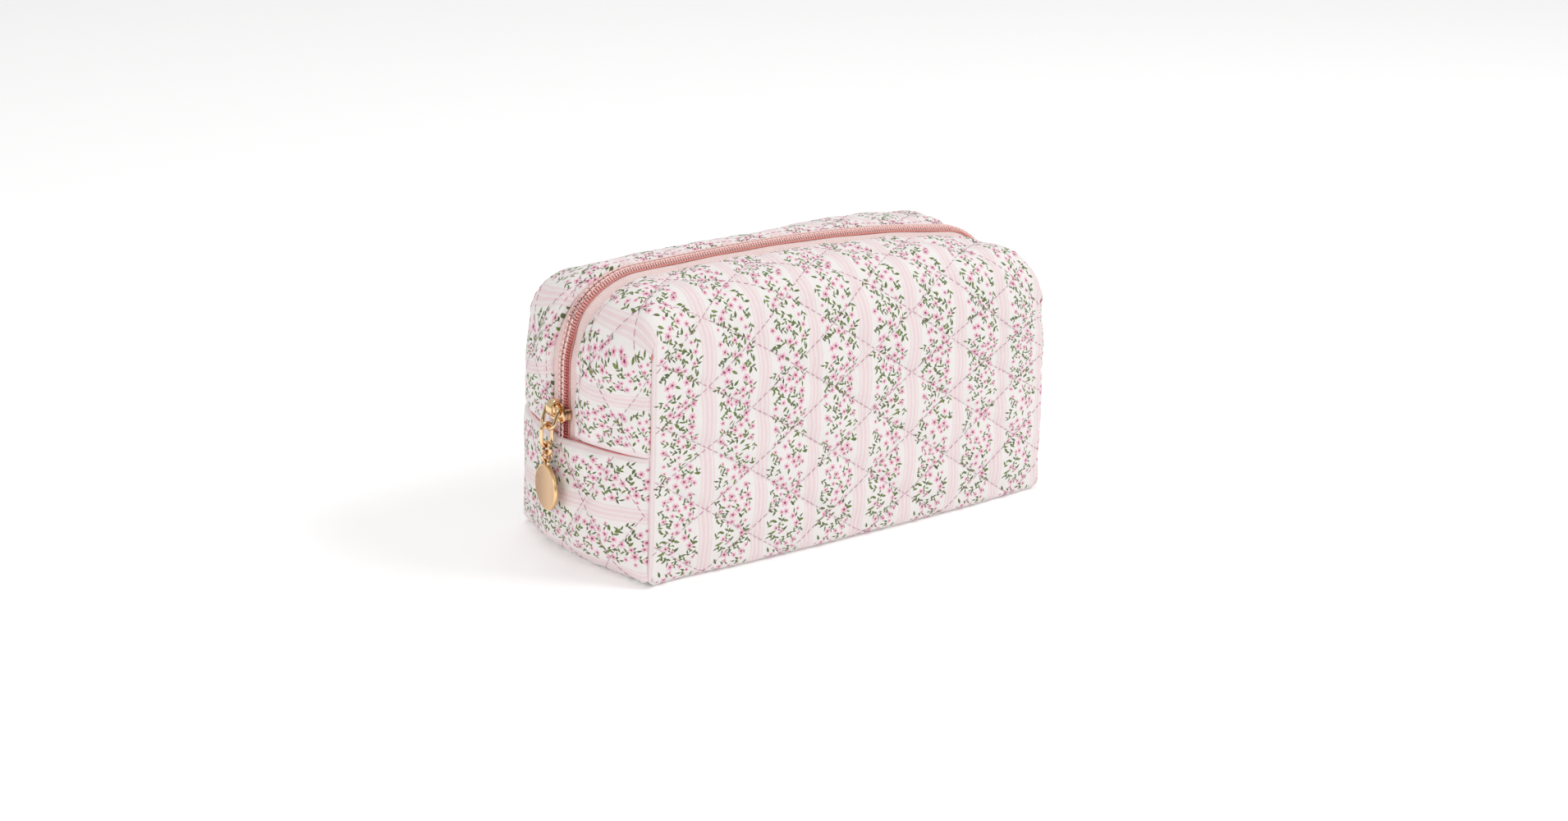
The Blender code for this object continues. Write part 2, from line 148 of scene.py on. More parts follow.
def run(points):
    """Distance along a path at each of its points."""
    return np.concatenate([[0], np.cumsum(np.linalg.norm(np.diff(points, axis=0), axis=1))])


def graded(length, step, fine_low=True, fine_high=True, fine=FINE):
    """Shares from 0 to 1 of a length, closer together near the ends asked for."""
    low = [0.0] + (list(fine) if fine_low else [])
    high = [length] + ([length - f for f in fine] if fine_high else [])
    inner = np.linspace(low[-1], high[-1], max(2, round((high[-1] - low[-1]) / step) + 1))
    last = high[:-1][::-1] if fine_high else []
    return np.array(low[:-1] + list(inner) + last) / length


# ---- the bag's surface ----


def shoulder_drop(y):
    """How far the top lies below its crown, y from the middle."""
    flat = SHOULDER_DROP * np.clip((y - ZIP_EDGE) / (SHOULDER_Y - ZIP_EDGE), 0, 1) ** 2
    round_part = ARC_R * (1 - np.sqrt(1 - np.clip((y - SHOULDER_Y) / SHOULDER_R, 0, 0.98) ** 2))
    return flat + np.where(y > SHOULDER_Y, round_part, 0.0)


def top_z(x, q):
    y = ZIP_EDGE + (SEAM_Y - ZIP_EDGE) * q
    crown = TOP_CROWN * (1 - np.clip(np.abs(x) / ARC_START_Z, 0, 1) ** 2)
    return TOP_Z + crown - shoulder_drop(y) * (1 + CORNER_DROP / RIDGE_DROP * np.abs(x / SEAM_X) ** 4)


def end_x(y):
    return END_X - 12.0 * np.abs(y / SEAM_Y) ** 2.4


def sag(points):
    """How the soft bag stands: its top settles to the right and the back, and its bottom corners spread."""
    x, y, z = (points[..., k].copy() for k in range(3))
    drop = 0.00047 * np.clip(x + 40, 0, None) ** 2 * smooth((z - 45) / 50)
    at_back = smooth((y - 8) / 25) * smooth((z - 50) / 40)
    drop += at_back * (4.7 * (1 - smooth((x + 10) / 75)) - 1.6 * smooth((x - 60) / 30))
    drop += 1.5 * smooth((x - 40) / 40) * smooth((-y - 5) / 6) * smooth((z - 70) / 20)
    right = smooth((x - 70) / 27)
    from_corner = np.hypot(np.abs(x) - SEAM_X, np.abs(y) - SEAM_Y)
    spread = np.where(x > 0, 0.6, 3.2) * np.exp(-((from_corner / 9) ** 2)) * smooth((16 - z) / 14)
    spread = spread * np.where(y > 0, 0.3, 1.0)
    left_back = 1.7 * smooth((z - 70) / 20) * smooth((y - 10) / 20) * smooth((-x - 70) / 25)
    leaning = right * (smooth((60 - z) / 30) - 2.4 * smooth((z - 62) / 25)) + left_back
    points[..., 0] = x + leaning + np.sign(x) * 0.64 * spread
    points[..., 1] = y + np.sign(y) * 0.77 * spread
    points[..., 2] = z - drop
    return points


def upper_sheet(columns, q):
    """(points, u) of the top and upper ends of the front half. columns run 0 to 6 between the end seams."""
    c = columns[:, None]
    side = np.where(c <= 3, -1.0, 1.0)
    c = np.where(c <= 3, c, 6 - c)
    q = q[None, :]
    y = ZIP_EDGE + (SEAM_Y - ZIP_EDGE) * q
    x_end = end_x(y)
    arc_z = ARC_START_Z + (CORNER_Z - ARC_START_Z) * q**1.5
    arc_rx = ARC_R - 28.6 * q**1.6
    x_arc = x_end - arc_rx
    arc_rz = top_z(x_arc, q) - arc_z
    angle = np.clip(c - 1, 0, 1) * math.pi / 2
    x_top = x_arc * np.clip(3 - c, 0, 1)
    z_up = END_SEAM_Z + (arc_z - END_SEAM_Z) * c
    x = np.where(c < 1, x_end, np.where(c < 2, x_arc + arc_rx * np.cos(angle), x_top))
    z = np.where(c < 1, z_up, np.where(c < 2, arc_z + arc_rz * np.sin(angle), top_z(x_top, q)))
    u_seam, u_arc = 146.5 - 1.8 * q, 119.6 - 18.6 * q
    u_over = np.where(c < 2, u_arc + (x_arc - u_arc) * (c - 1), x_top)
    u = np.where(c < 1, u_seam + (u_arc - u_seam) * c, u_over)
    return stack(side * x, -y, z), side * u


SHARES = np.linspace(0, 1, 400)
_ys = ZIP_EDGE + (SEAM_Y - ZIP_EDGE) * SHARES
V_TABLE = np.concatenate([[0], np.cumsum(np.hypot(np.diff(_ys), np.diff(shoulder_drop(_ys))))])
V_RIDGE = float(V_TABLE[-1])
RIDGE_Z = TOP_Z + TOP_CROWN - RIDGE_DROP


def wall_sheet(ridge, rows):
    """(points, u, v) of the front wall and half the bottom, hung from the ridge. A row is (kind, share)."""
    n = len(ridge)
    even = (graded(2 * SEAM_X, 2 * SEAM_X / (n - 11)) * 2 - 1) * SEAM_X
    even = np.interp(np.linspace(0, 1, n), np.linspace(0, 1, len(even)), even)
    points, us, vs = [], [], []
    for kind, share in rows:
        if kind == "wall":
            z_low = BOTTOM_R[0] + BOTTOM_R[1] * (1 - np.abs(even / SEAM_X) ** 3.2)
            z = ridge[:, 2] + (z_low - ridge[:, 2]) * share
            x = ridge[:, 0] + (even - ridge[:, 0]) * smooth(share / 0.4)
            gate = 1 - np.abs(np.clip(x / SEAM_X, -1, 1)) ** 3.2
            t = np.clip((z - ARC_START_Z) / (ridge[:, 2] - ARC_START_Z), 0, 1)
            bulge = (np.sqrt(1 - (0.715 * t) ** 2) - RIDGE_SHARE) / (1 - RIDGE_SHARE)
            bulge = bulge * (1 - 0.22 * np.clip((45 - z) / 35, 0, 1) ** 2)
            y = -(SEAM_Y + BELLY * gate * bulge)
            lifted = z + (RIDGE_Z - ridge[:, 2]) * np.clip((z - 40) / (ridge[:, 2] - 40), 0, 1)
            v = V_RIDGE + RIDGE_Z - lifted
        else:
            x, gate = even, 1 - np.abs(even / SEAM_X) ** 3.2
            radius = BOTTOM_R[0] + BOTTOM_R[1] * gate
            wall_y = SEAM_Y + BELLY * gate * 0.78
            angle = (share if kind == "round" else 1.0) * math.pi / 2
            x = x * (93 + 4 * math.cos(angle)) / 97
            inner = wall_y - radius
            y = -(inner + radius * math.cos(angle))
            z = radius * (1 - math.sin(angle))
            v = V_RIDGE + RIDGE_Z - radius + radius * angle
            if kind == "bottom":
                y = y * (1 - share)
                z = 0 * y
                v = v + inner * share
        points.append(stack(x, y, z))
        us.append(x)
        vs.append(v + 0 * x)
    return [np.stack(part, 1) for part in (points, us, vs)]


def grid_faces(columns, rows, start=0):
    faces = []
    for i in range(columns - 1):
        for j in range(rows - 1):
            a = start + i * rows + j
            faces.append((a, a + rows, a + rows + 1, a + 1))
    return faces


def quilt_lines(u, v):
    """[(number, mm to the line)] for both families of quilting lines. The number is whole on a line."""
    across, along = (u - QUILT_U) / QUILT_HALF_U, (v - QUILT_V) / QUILT_HALF_V
    numbers = ((across + along) / 2, (across - along) / 2)
    return [(n, np.abs(n - np.round(n)) * QUILT_SPACING) for n in numbers]


def puff(u, v):
    """Height of the quilting above its stitched lines, in millimetres."""
    height = 1.0
    for _, distance in quilt_lines(u, v):
        height = height * (1 - np.exp(-distance / PUFF_REACH))
    return PUFF * height


def pucker(u, v):
    """Small gathers that run across the stitched lines and die away from them."""
    out = np.zeros_like(u)
    lines = quilt_lines(u, v)
    for (line, distance), (along, _) in zip(lines, lines[::-1]):
        ripple = [noise.noise(Vector((a * 6.0, b * 1.3, 7.0))) for a, b in zip(along.ravel(), line.ravel())]
        out += np.array(ripple).reshape(u.shape) * np.exp(-distance / 4.0) * (1 - np.exp(-distance / 0.8))
    return out * 0.55


def roll(distance, radius):
    """How deep a sewn edge turns in, that far from the seam."""
    d = np.clip(distance, 0, radius)
    return radius - np.sqrt(np.clip(radius**2 - (radius - d) ** 2, 0, None))


def turned_in(*edges):
    """(depth, direction) of the fabric's turned-in edges together. Each edge is (direction, depth)."""
    total = sum(direction * depth[..., None] for direction, depth in edges)
    depth = np.linalg.norm(total, axis=-1)
    return depth, total / np.maximum(depth, 1e-9)[..., None]


def crease(points, scale, seed):
    """Soft unevenness of the cloth as a whole."""
    return np.array([noise.noise(Vector(p) / scale + Vector((seed, 0, 0))) for p in points])


def vertex_normals(points, faces):
    mesh = bpy.data.meshes.new("normals")
    mesh.from_pydata([tuple(p) for p in points], [], faces)
    normals = np.zeros(len(points) * 3)
    mesh.vertex_normals.foreach_get("vector", normals)
    bpy.data.meshes.remove(mesh)
    return normals.reshape(-1, 3)


class Cloth:
    """A sheet under construction: points, faces, place on the flat cloth, and how its sewn edges turn in."""

    def __init__(self):
        self.points, self.uv, self.inward, self.groove, self.faces = [], [], [], [], []
        self.count = 0

    def add_grid(self, points, u, v, groove, inward):
        """Adds a grid. groove is the depth that edges turn in, inward the unit direction they do it."""
        columns, rows = u.shape
        start = self.count
        self.points.append(points.reshape(-1, 3))
        self.uv.append(stack(u, v).reshape(-1, 2))
        self.groove.append(groove.reshape(-1))
        self.inward.append(inward.reshape(-1, 3))
        self.faces += grid_faces(columns, rows, start)
        self.count += columns * rows
        return np.arange(start, self.count).reshape(columns, rows)

    def close(self):
        for field in ("points", "uv", "groove", "inward"):
            setattr(self, field, np.concatenate(getattr(self, field)))

    def weld(self, pairs):
        """Makes each second point of the pairs the first one."""
        replace = np.arange(len(self.points))
        for keep, drop in pairs:
            replace[drop] = keep
        used = np.unique(replace)
        index = {old: new for new, old in enumerate(used)}
        self.faces = [tuple(index[replace[i]] for i in face) for face in self.faces]
        for field in ("points", "uv", "groove", "inward"):
            setattr(self, field, getattr(self, field)[used])


def half_sheet(make, back):
    """One half of the outer fabric or of the lining. It is made as the front one."""
    depth, coarse, quilted, fine = make
    step = 1.2 * coarse
    lower = graded(26, step, True, False, fine)
    arc = np.linspace(0, 1, round(30 / coarse) + 1)[1:]
    top = np.linspace(0, 1, round(58 / coarse) + 1)[1:]
    half = np.concatenate([lower, 1 + arc, 2 + top])
    columns = np.concatenate([half, (6 - half[:-1])[::-1]])
    q = graded(SEAM_Y - ZIP_EDGE, step, True, True, fine)
    upper, u = upper_sheet(columns, q)
    zeros = np.zeros_like(u)
    v = np.interp(q, SHARES, V_TABLE)[None, :] + zeros
    c = np.minimum(columns, 6 - columns)[:, None]
    side = np.sign(upper[..., 0])

    zip_edge = roll((SEAM_Y - ZIP_EDGE) * q[None, :] + zeros, ZIP_ROLL)
    zip_in = stack(-side * (c < 1.5), 0.0, -1.0 * (c >= 1.5))
    corner = roll((SEAM_Y - ZIP_EDGE) * (1 - q[None, :]) + zeros, CORNER_ROLL) * smooth((1.04 - c) / 0.12)
    corner_in = stack(-side * CORNER_OUT[0], CORNER_OUT[1], 0.0)
    end = roll(c * 26.0 + zeros, 2.2) * (1 - 0.6 * smooth((q[None, :] - 0.55) / 0.4))
    end_in = stack(-side, 0.0, 0.0)
    cloth = Cloth()
    edges = turned_in((zip_in, zip_edge), (corner_in, corner), (end_in, end))
    index_upper = cloth.add_grid(upper, u, v, *edges)

    n_lower = len(lower)
    ridge = slice(n_lower - 1, len(columns) - n_lower + 1)
    rows = [("wall", s) for s in np.linspace(0, 1, round(76 / coarse))]
    rows += [("round", s) for s in np.linspace(0, 1, round(9 / coarse) + 1)[1:]]
    rows += [("bottom", s) for s in graded(37, 2.0 * coarse, False, True, fine)[1:]]
    wall, wall_u, wall_v = wall_sheet(upper[ridge, -1], rows)
    x, y, z = (wall[..., k] for k in range(3))
    reach = np.minimum(np.abs(x[:1]), np.abs(x[-1:]))
    corner = roll(reach - np.abs(x), CORNER_ROLL) * smooth((93.5 - z) / 6.0)
    low = np.clip(1 - z / 8.0, 0, 1)
    corner_in = stack(-np.sign(x) * CORNER_OUT[0], CORNER_OUT[1] * (1 - low), CORNER_OUT[1] * low)
    bottom = roll(-y, 2.0) * (z < 1)
    bottom_in = stack(0.0, 0.0, 1.0)
    index_wall = cloth.add_grid(wall, wall_u, wall_v, *turned_in((corner_in, corner), (bottom_in, bottom)))
    cloth.close()
    cloth.weld(list(zip(index_upper[ridge, -1], index_wall[:, 0])))
    if back:
        cloth.points[:, 1] *= -1
        cloth.inward[:, 1] *= -1
        cloth.uv[:, 1] *= -1
    shape_cloth(cloth, depth, quilted, quilted)
    cloth.corners = [index_upper[:n_lower, -1], index_upper[-n_lower:, -1]]
    return cloth


def corner_calm(points):
    """1 over the panels and low near the four upright corners, where the wadding is squeezed flat."""
    from_corner = np.hypot(np.abs(points[:, 0]) - SEAM_X, np.abs(points[:, 1]) - SEAM_Y)
    top_back = smooth((points[:, 1] - 12.0) / 12.0) * smooth((points[:, 2] - 80.0) / 12.0)
    return (0.35 + 0.65 * smooth((from_corner - 3.0) / 15.0)) * (1 - 0.5 * top_back)


def shape_cloth(cloth, depth, quilted, topstitched):
    """Puffs and grooves a sheet, sags it, and puts it that depth below the outside."""
    normals = vertex_normals(cloth.points, cloth.faces)
    middle = np.array([0, 0, TOP_Z / 2])
    if np.mean(np.sum(normals * (cloth.points - middle), axis=1)) < 0:
        cloth.faces = [face[::-1] for face in cloth.faces]
        normals = -normals
    u, v = cloth.uv[:, 0], cloth.uv[:, 1]
    z = cloth.points[:, 2]
    grounded = smooth((z - 1.0) / 7.0)
    height = -depth + crease(cloth.points, 23.0, 3.0) * 0.5 * grounded
    if quilted:
        near_edge = np.exp(-cloth.groove / 0.35) * (0.35 + 0.65 * smooth((z - 3.0) / 13.0))
        lift = (puff(u, v) + pucker(u, v)) * near_edge * corner_calm(cloth.points) - PUFF * 0.55
        if topstitched:
            from_row = np.abs(v) - TOPSTITCH
            lift -= 0.45 * np.exp(-((from_row / 0.7) ** 2)) + 0.9 * smooth((4.2 - np.abs(v)) / 2.0)
        height = height + lift * np.where(z < 0.5, 0.35, 1.0)
    else:
        height = height + crease(cloth.points, 9.0, 11.0) * 0.5 * grounded
    cloth.points = cloth.points + normals * height[:, None] + cloth.inward * cloth.groove[:, None]
    cloth.points[:, 2] = np.maximum(cloth.points[:, 2], max(0.0, depth))
    cloth.points = sag(cloth.points)
    cloth.normals = normals


def cloth_simulation(obj):
    """Blender's cloth on a mesh held at its stitches: a little excess fabric and pressure, no gravity."""
    modifier = obj.modifiers.new("cloth", "CLOTH")
    settings = dict(quality=6, mass=0.03, air_damping=2.0, shear_stiffness=4.0, bending_stiffness=0.25)
    settings.update(tension_stiffness=12.0, compression_stiffness=12.0, shrink_min=-SIM_EXCESS)
    settings.update(vertex_group_mass="stitched", use_pressure=True, uniform_pressure_force=1.0)
    for key, value in settings.items():
        setattr(modifier.settings, key, value)
    modifier.settings.effector_weights.gravity = 0.0
    modifier.collision_settings.use_collision = False
    modifier.point_cache.frame_start, modifier.point_cache.frame_end = 1, SIM_FRAMES


def swell(cloth):
    """Cloth simulation: the fabric, a little too large, gathers and swells between its stitches and seams."""
    u, v = cloth.uv[:, 0], cloth.uv[:, 1]
    (_, first), (_, second) = quilt_lines(u, v)
    held = np.minimum(first, second) < 0.75
    held |= (cloth.groove > 0.25) | (cloth.points[:, 2] < 0.4) | (np.abs(np.abs(v) - TOPSTITCH) < 0.7)
    obj = link_mesh("swelling", cloth.points * SIM_SCALE, cloth.faces)
    mesh = obj.data
    group = obj.vertex_groups.new(name="stitched")
    group.add([int(i) for i in np.flatnonzero(held)], 1.0, "REPLACE")
    cloth_simulation(obj)
    for number in range(1, SIM_FRAMES + 1):
        bpy.context.scene.frame_set(number)
    made = obj.evaluated_get(bpy.context.evaluated_depsgraph_get())
    moved = np.zeros(len(cloth.points) * 3)
    made.data.vertices.foreach_get("co", moved)
    shift = moved.reshape(-1, 3) / SIM_SCALE - cloth.points
    size = np.linalg.norm(shift, axis=1, keepdims=True)
    shift *= SIM_CAP * np.tanh(size / SIM_CAP) / np.maximum(size, 1e-9)
    shift *= 0.3 + 0.7 * smooth((cloth.points[:, 2:] - 3.0) / 12.0)
    shift *= corner_calm(cloth.points)[:, None]
    cloth.points = cloth.points + shift
    cloth.points[:, 2] = np.maximum(cloth.points[:, 2], 0.0)
    cloth.normals = vertex_normals(cloth.points, cloth.faces)
    bpy.data.objects.remove(obj)
    bpy.data.meshes.remove(mesh)
    bpy.context.scene.frame_set(1)


def end_panel(make, side):
    """The lower end panel, from the end seam to under the bag."""
    depth, coarse, quilted, fine = make
    w = graded(2 * SEAM_Y, 1.25 * coarse, True, True, fine) * 2 - 1
    drop = graded(41, 1.25 * coarse, True, False, fine)
    rows = [("wall", s) for s in drop] + [("round", s) for s in np.linspace(0, 1, round(9 / coarse) + 1)[1:]]
    rows += [("bottom", s) for s in np.linspace(0, 1, round(6 / coarse) + 1)[1:]]
    radius_z, radius_x = END_BOTTOM_R - 12.4 * w**4, 10.0 - 7.0 * w**4
    x_end = end_x(w * SEAM_Y)
    points, us = [], []
    for kind, share in rows:
        if kind == "wall":
            z = END_SEAM_Z + (radius_z - END_SEAM_Z) * share
            x, y = x_end, SEAM_Y * w
            u = END_U - z
        else:
            angle = (share if kind == "round" else 1.0) * math.pi / 2
            x = x_end - radius_x * (1 - math.cos(angle))
            z = radius_z * (1 - math.sin(angle))
            y = w * (SEAM_Y - 6 * (1 - math.cos(angle)) * np.abs(w) ** 6)
            u = END_U - radius_z + radius_z * angle
            if kind == "bottom":
                x = x + (END_TUCK_X - x) * share
                z = z + 1.6 * share**3
                u = u + (x_end - 100 + 6) * share
        points.append(stack(side * x, y, z))
        us.append(side * u)
    points, u = np.stack(points, 1), np.stack(us, 1)
    x, y, z = (points[..., k] for k in range(3))
    zeros = np.zeros_like(u)
    low = np.clip(1 - z / 8.0, 0, 1)
    corner = roll(SEAM_Y * (1 - np.abs(w))[:, None] + zeros, CORNER_ROLL)
    corner_side = -np.sign(y) * CORNER_OUT[1] * (1 - low)
    corner_in = stack(-side * CORNER_OUT[0], corner_side, CORNER_OUT[1] * low)
    top = roll(np.clip(END_SEAM_Z - z, 0, None), 2.6) * (1 - 0.6 * smooth((np.abs(w)[:, None] - 0.6) / 0.35))
    top_in = stack(-side, 0.0, 0.0)
    cloth = Cloth()
    grid = cloth.add_grid(points, u, END_V + y, *turned_in((corner_in, corner), (top_in, top)))
    cloth.close()
    if quilted:
        # The top edge puffs out over the seam and dips in its middle.
        across, height = cloth.points[:, 1], cloth.points[:, 2]
        below = np.clip(END_SEAM_Z - height, 0, None)
        cloth.points[:, 0] += side * 1.7 * np.exp(-((across / 16.0) ** 2)) * np.exp(-(below / 12.0))
        cloth.points[:, 2] -= 1.0 * np.exp(-((across / 9.0) ** 2)) * (height > 46)
    shape_cloth(cloth, depth, quilted, False)
    cloth.corners = [grid[0, : len(drop) + 9], grid[-1, : len(drop) + 9]]
    return cloth


def link(name, data):
    """A new object in the scene."""
    obj = bpy.data.objects.new(name, data)
    bpy.context.scene.collection.objects.link(obj)
    return obj


def link_mesh(name, points, faces):
    mesh = bpy.data.meshes.new(name)
    mesh.from_pydata([tuple(p) for p in points], [], [tuple(int(i) for i in f) for f in faces])
    return link(name, mesh)


def make_mesh(name, points, faces, material, uv=None):
    """A mesh object from millimetre points. uv is kept as the attribute that the print follows."""
    obj = link_mesh(name, np.asarray(points) * MM, faces)
    mesh = obj.data
    if uv is not None:
        attribute = mesh.attributes.new("cloth_mm", "FLOAT_VECTOR", "POINT")
        flat = np.zeros((len(points), 3), np.float32)
        flat[:, :2] = uv
        attribute.data.foreach_set("vector", flat.ravel())
    mesh.validate()
    mesh.update()
    mesh.shade_smooth()
    mesh.materials.append(material)
    return obj


def thicken(obj, thickness):
    solid = obj.modifiers.new("thickness", "SOLIDIFY")
    solid.thickness = thickness * MM
    solid.offset = -1.0
    solid.use_rim = True
    graph = bpy.context.evaluated_depsgraph_get()
    mesh = bpy.data.meshes.new_from_object(obj.evaluated_get(graph))
    obj.modifiers.clear()
    obj.data = mesh
    return obj


# ---- materials ----


class Nodes:
    """Shorthand for building a material's node tree."""

    def __init__(self, name):
        self.material = bpy.data.materials.new(name)
        self.material.use_nodes = True
        self.tree = self.material.node_tree
        self.shader = self.tree.nodes["Principled BSDF"]

    def feed(self, socket, value):
        if isinstance(value, bpy.types.NodeSocket):
            self.tree.links.new(value, socket)
        elif value is not None:
            socket.default_value = value

    def add(self, kind, inputs=(), **settings):
        """A new node's outputs. inputs are in the order of its sockets, or a dictionary by place or name."""
        node = self.tree.nodes.new(kind)
        for key, value in settings.items():
            setattr(node, key, value)
        for key, value in inputs.items() if isinstance(inputs, dict) else enumerate(inputs):
            self.feed(node.inputs[key], value)
        return node.outputs

    def calc(self, operation, *values, clamp=False):
        return self.add("ShaderNodeMath", values, operation=operation, use_clamp=clamp)[0]

    times = functools.partialmethod(calc, "MULTIPLY")
    plus = functools.partialmethod(calc, "ADD")
    minus = functools.partialmethod(calc, "SUBTRACT")
    times_plus = functools.partialmethod(calc, "MULTIPLY_ADD")
    over = functools.partialmethod(calc, "GREATER_THAN")
    under = functools.partialmethod(calc, "LESS_THAN")
    most = functools.partialmethod(calc, "MAXIMUM")
    absolute = functools.partialmethod(calc, "ABSOLUTE")

    def vector(self, operation, *values):
        outputs = self.add("ShaderNodeVectorMath", values, operation=operation)
        return outputs["Value" if operation in ("LENGTH", "DOT_PRODUCT") else "Vector"]

    def split(self, vector):
        return self.add("ShaderNodeSeparateXYZ", (vector,))

    def band(self, value, low, high, to_low=0.0, to_high=1.0):
        """value mapped smoothly from [low, high] to [to_low, to_high]."""
        values = (value, low, high, to_low, to_high)
        return self.add("ShaderNodeMapRange", values, interpolation_type="SMOOTHSTEP")[0]

    def mix(self, share, a, b):
        """a to b by share. A colour is a socket, or red, green and blue from 0 to 255."""
        a, b = (linear(colour) if isinstance(colour, tuple) else colour for colour in (a, b))
        return self.add("ShaderNodeMix", {0: share, 6: a, 7: b}, data_type="RGBA")[2]

    def noise(self, vector, scale, detail=2.0):
        return self.add("ShaderNodeTexNoise", {"Vector": vector, "Scale": scale, "Detail": detail})[0]

    def bump(self, height, distance, strength=1.0, base=None):
        values = {"Height": height, "Distance": distance, "Strength": strength, "Normal": base}
        return self.add("ShaderNodeBump", values)[0]

    def object_mm(self):
        return self.scaled(self.add("ShaderNodeTexCoord")["Object"], 1 / MM)

    def scaled(self, vector, factor):
        return self.add("ShaderNodeVectorMath", {0: vector, "Scale": factor}, operation="SCALE")[0]

    def turned(self, vector, angle):
        values = {"Vector": vector, "Angle": angle}
        return self.add("ShaderNodeVectorRotate", values, rotation_type="Z_AXIS")[0]

    def set(self, **values):
        for key, value in values.items():
            self.feed(self.shader.inputs[key.replace("_", " ")], value)
        return self.material


def linear(colour):
    """Red, green and blue from 0 to 255 in the linear values that shaders use."""
    shares = [c / 255 for c in colour]
    return (*[s / 12.92 if s < 0.04 else ((s + 0.055) / 1.055) ** 2.4 for s in shares], 1.0)


def scattered(g, tile, size, angle, offset, randomness=0.55):
    """Motifs scattered one to a cell: (place in the motif, its centre's u on the tile, random numbers)."""
    shrink, shift = (1 / size, 1 / size, 0.0), (offset, offset, 0.0)
    place = g.vector("MULTIPLY_ADD", g.turned(tile, angle), shrink, shift)
    values = {"Vector": place, "Scale": 1.0, "Randomness": randomness}
    cells = g.add("ShaderNodeTexVoronoi", values, voronoi_dimensions="2D", feature="F1")
    local = g.scaled(g.vector("SUBTRACT", place, cells["Position"]), size)
    centre = g.vector("SUBTRACT", cells["Position"], shift)
    back = (math.cos(angle) * size, math.sin(angle) * size, 0.0)
    return local, g.vector("DOT_PRODUCT", centre, back), g.split(cells["Color"])


def clear_of_stripe(g, centre, reach):
    """1 for motifs that stand wholly between two stripe groups. reach is half their width."""
    room = g.calc("MINIMUM", centre, g.minus(STRIPE_PITCH, centre))
    return g.over(g.minus(room, reach), STRIPE_HALF)


def flowers(g, local, chance, radius):
    """Five-petalled flowers: (colour, cover, reach)."""
    r = g.vector("LENGTH", local)
    x, y, _ = g.split(local)
    angle = g.times_plus(chance[0], math.tau, g.calc("ARCTAN2", y, x))
    lobe = g.absolute(g.calc("COSINE", g.times(angle, 2.5)))
    reach = g.times(g.times_plus(g.calc("POWER", chance[1], 0.8), 0.5, 0.5), radius)
    edge = g.times(g.times_plus(g.calc("POWER", lobe, 0.7), 0.55, 0.45), reach)
    cover = g.band(g.minus(edge, r), -0.05, 0.22)
    share = g.calc("DIVIDE", r, reach)
    petal = g.mix(g.band(share, 0.2, 0.8), (228, 164, 188), (238, 204, 214))
    vein = g.times(g.band(lobe, 0.9, 1.0), g.band(share, 0.85, 0.3))
    petal = g.mix(g.times(vein, 0.55), petal, (196, 92, 132))
    colour = g.mix(g.band(share, 0.30, 0.17), petal, (148, 20, 74))
    colour = g.mix(g.band(share, 0.17, 0.09), colour, (84, 10, 40))
    return colour, cover, reach


def leaf(g, x, y, start, length, width, tilt):
    """How far inside one leaf a place is. The leaf leaves the stem at start, turned by tilt."""
    from_start = g.minus(x, start)
    along = g.times_plus(from_start, math.cos(tilt), g.times(y, math.sin(tilt)))
    aside = g.times_plus(from_start, -math.sin(tilt), g.times(y, math.cos(tilt)))
    share = g.calc("DIVIDE", along, length, clamp=True)
    half = g.times(g.calc("SINE", g.times(g.calc("POWER", share, 0.75), math.pi)), width)
    return g.minus(half, g.absolute(aside))


def greenery(g, inside, chance):
    """Colour of leaves: a dark edge round a lighter middle on some, plain dark on others."""
    green = g.mix(chance[1], (54, 76, 2), (90, 116, 16))
    pale = g.times(g.band(inside, 0.22, 0.36), g.band(chance[0], 0.5, 0.55, 0.05, 0.6))
    return g.mix(pale, green, (146, 168, 74))


def sprigs(g, local, chance, scale):
    """Bent stems with two pairs of leaves and one at the tip: (colour, cover)."""
    x, y, _ = g.split(g.turned(local, g.times(chance[0], math.tau)))
    bent = g.times_plus(g.times(x, x), -0.14, y)
    lower = g.times_plus(g.over(bent, 0.0), 0.5, x)
    folded = g.absolute(bent)
    tip = leaf(g, x, bent, 0.8 * scale, 2.5 * scale, 0.5 * scale, 0.1)
    pair = leaf(g, lower, folded, -0.7 * scale, 2.6 * scale, 0.5 * scale, 0.85)
    inside = g.most(tip, pair)
    stem = g.times(g.band(folded, 0.17, 0.07), g.band(g.absolute(x), 1.9 * scale, 1.7 * scale))
    cover = g.most(g.band(inside, -0.06, 0.07), g.times(stem, 0.85))
    return greenery(g, inside, chance), cover


def single_leaves(g, local, chance):
    x, y, _ = g.split(g.turned(local, g.times(chance[0], math.tau)))
    inside = leaf(g, x, y, -1.3, 2.6, 0.52, 0.0)
    return greenery(g, inside, chance), g.band(inside, -0.06, 0.07)


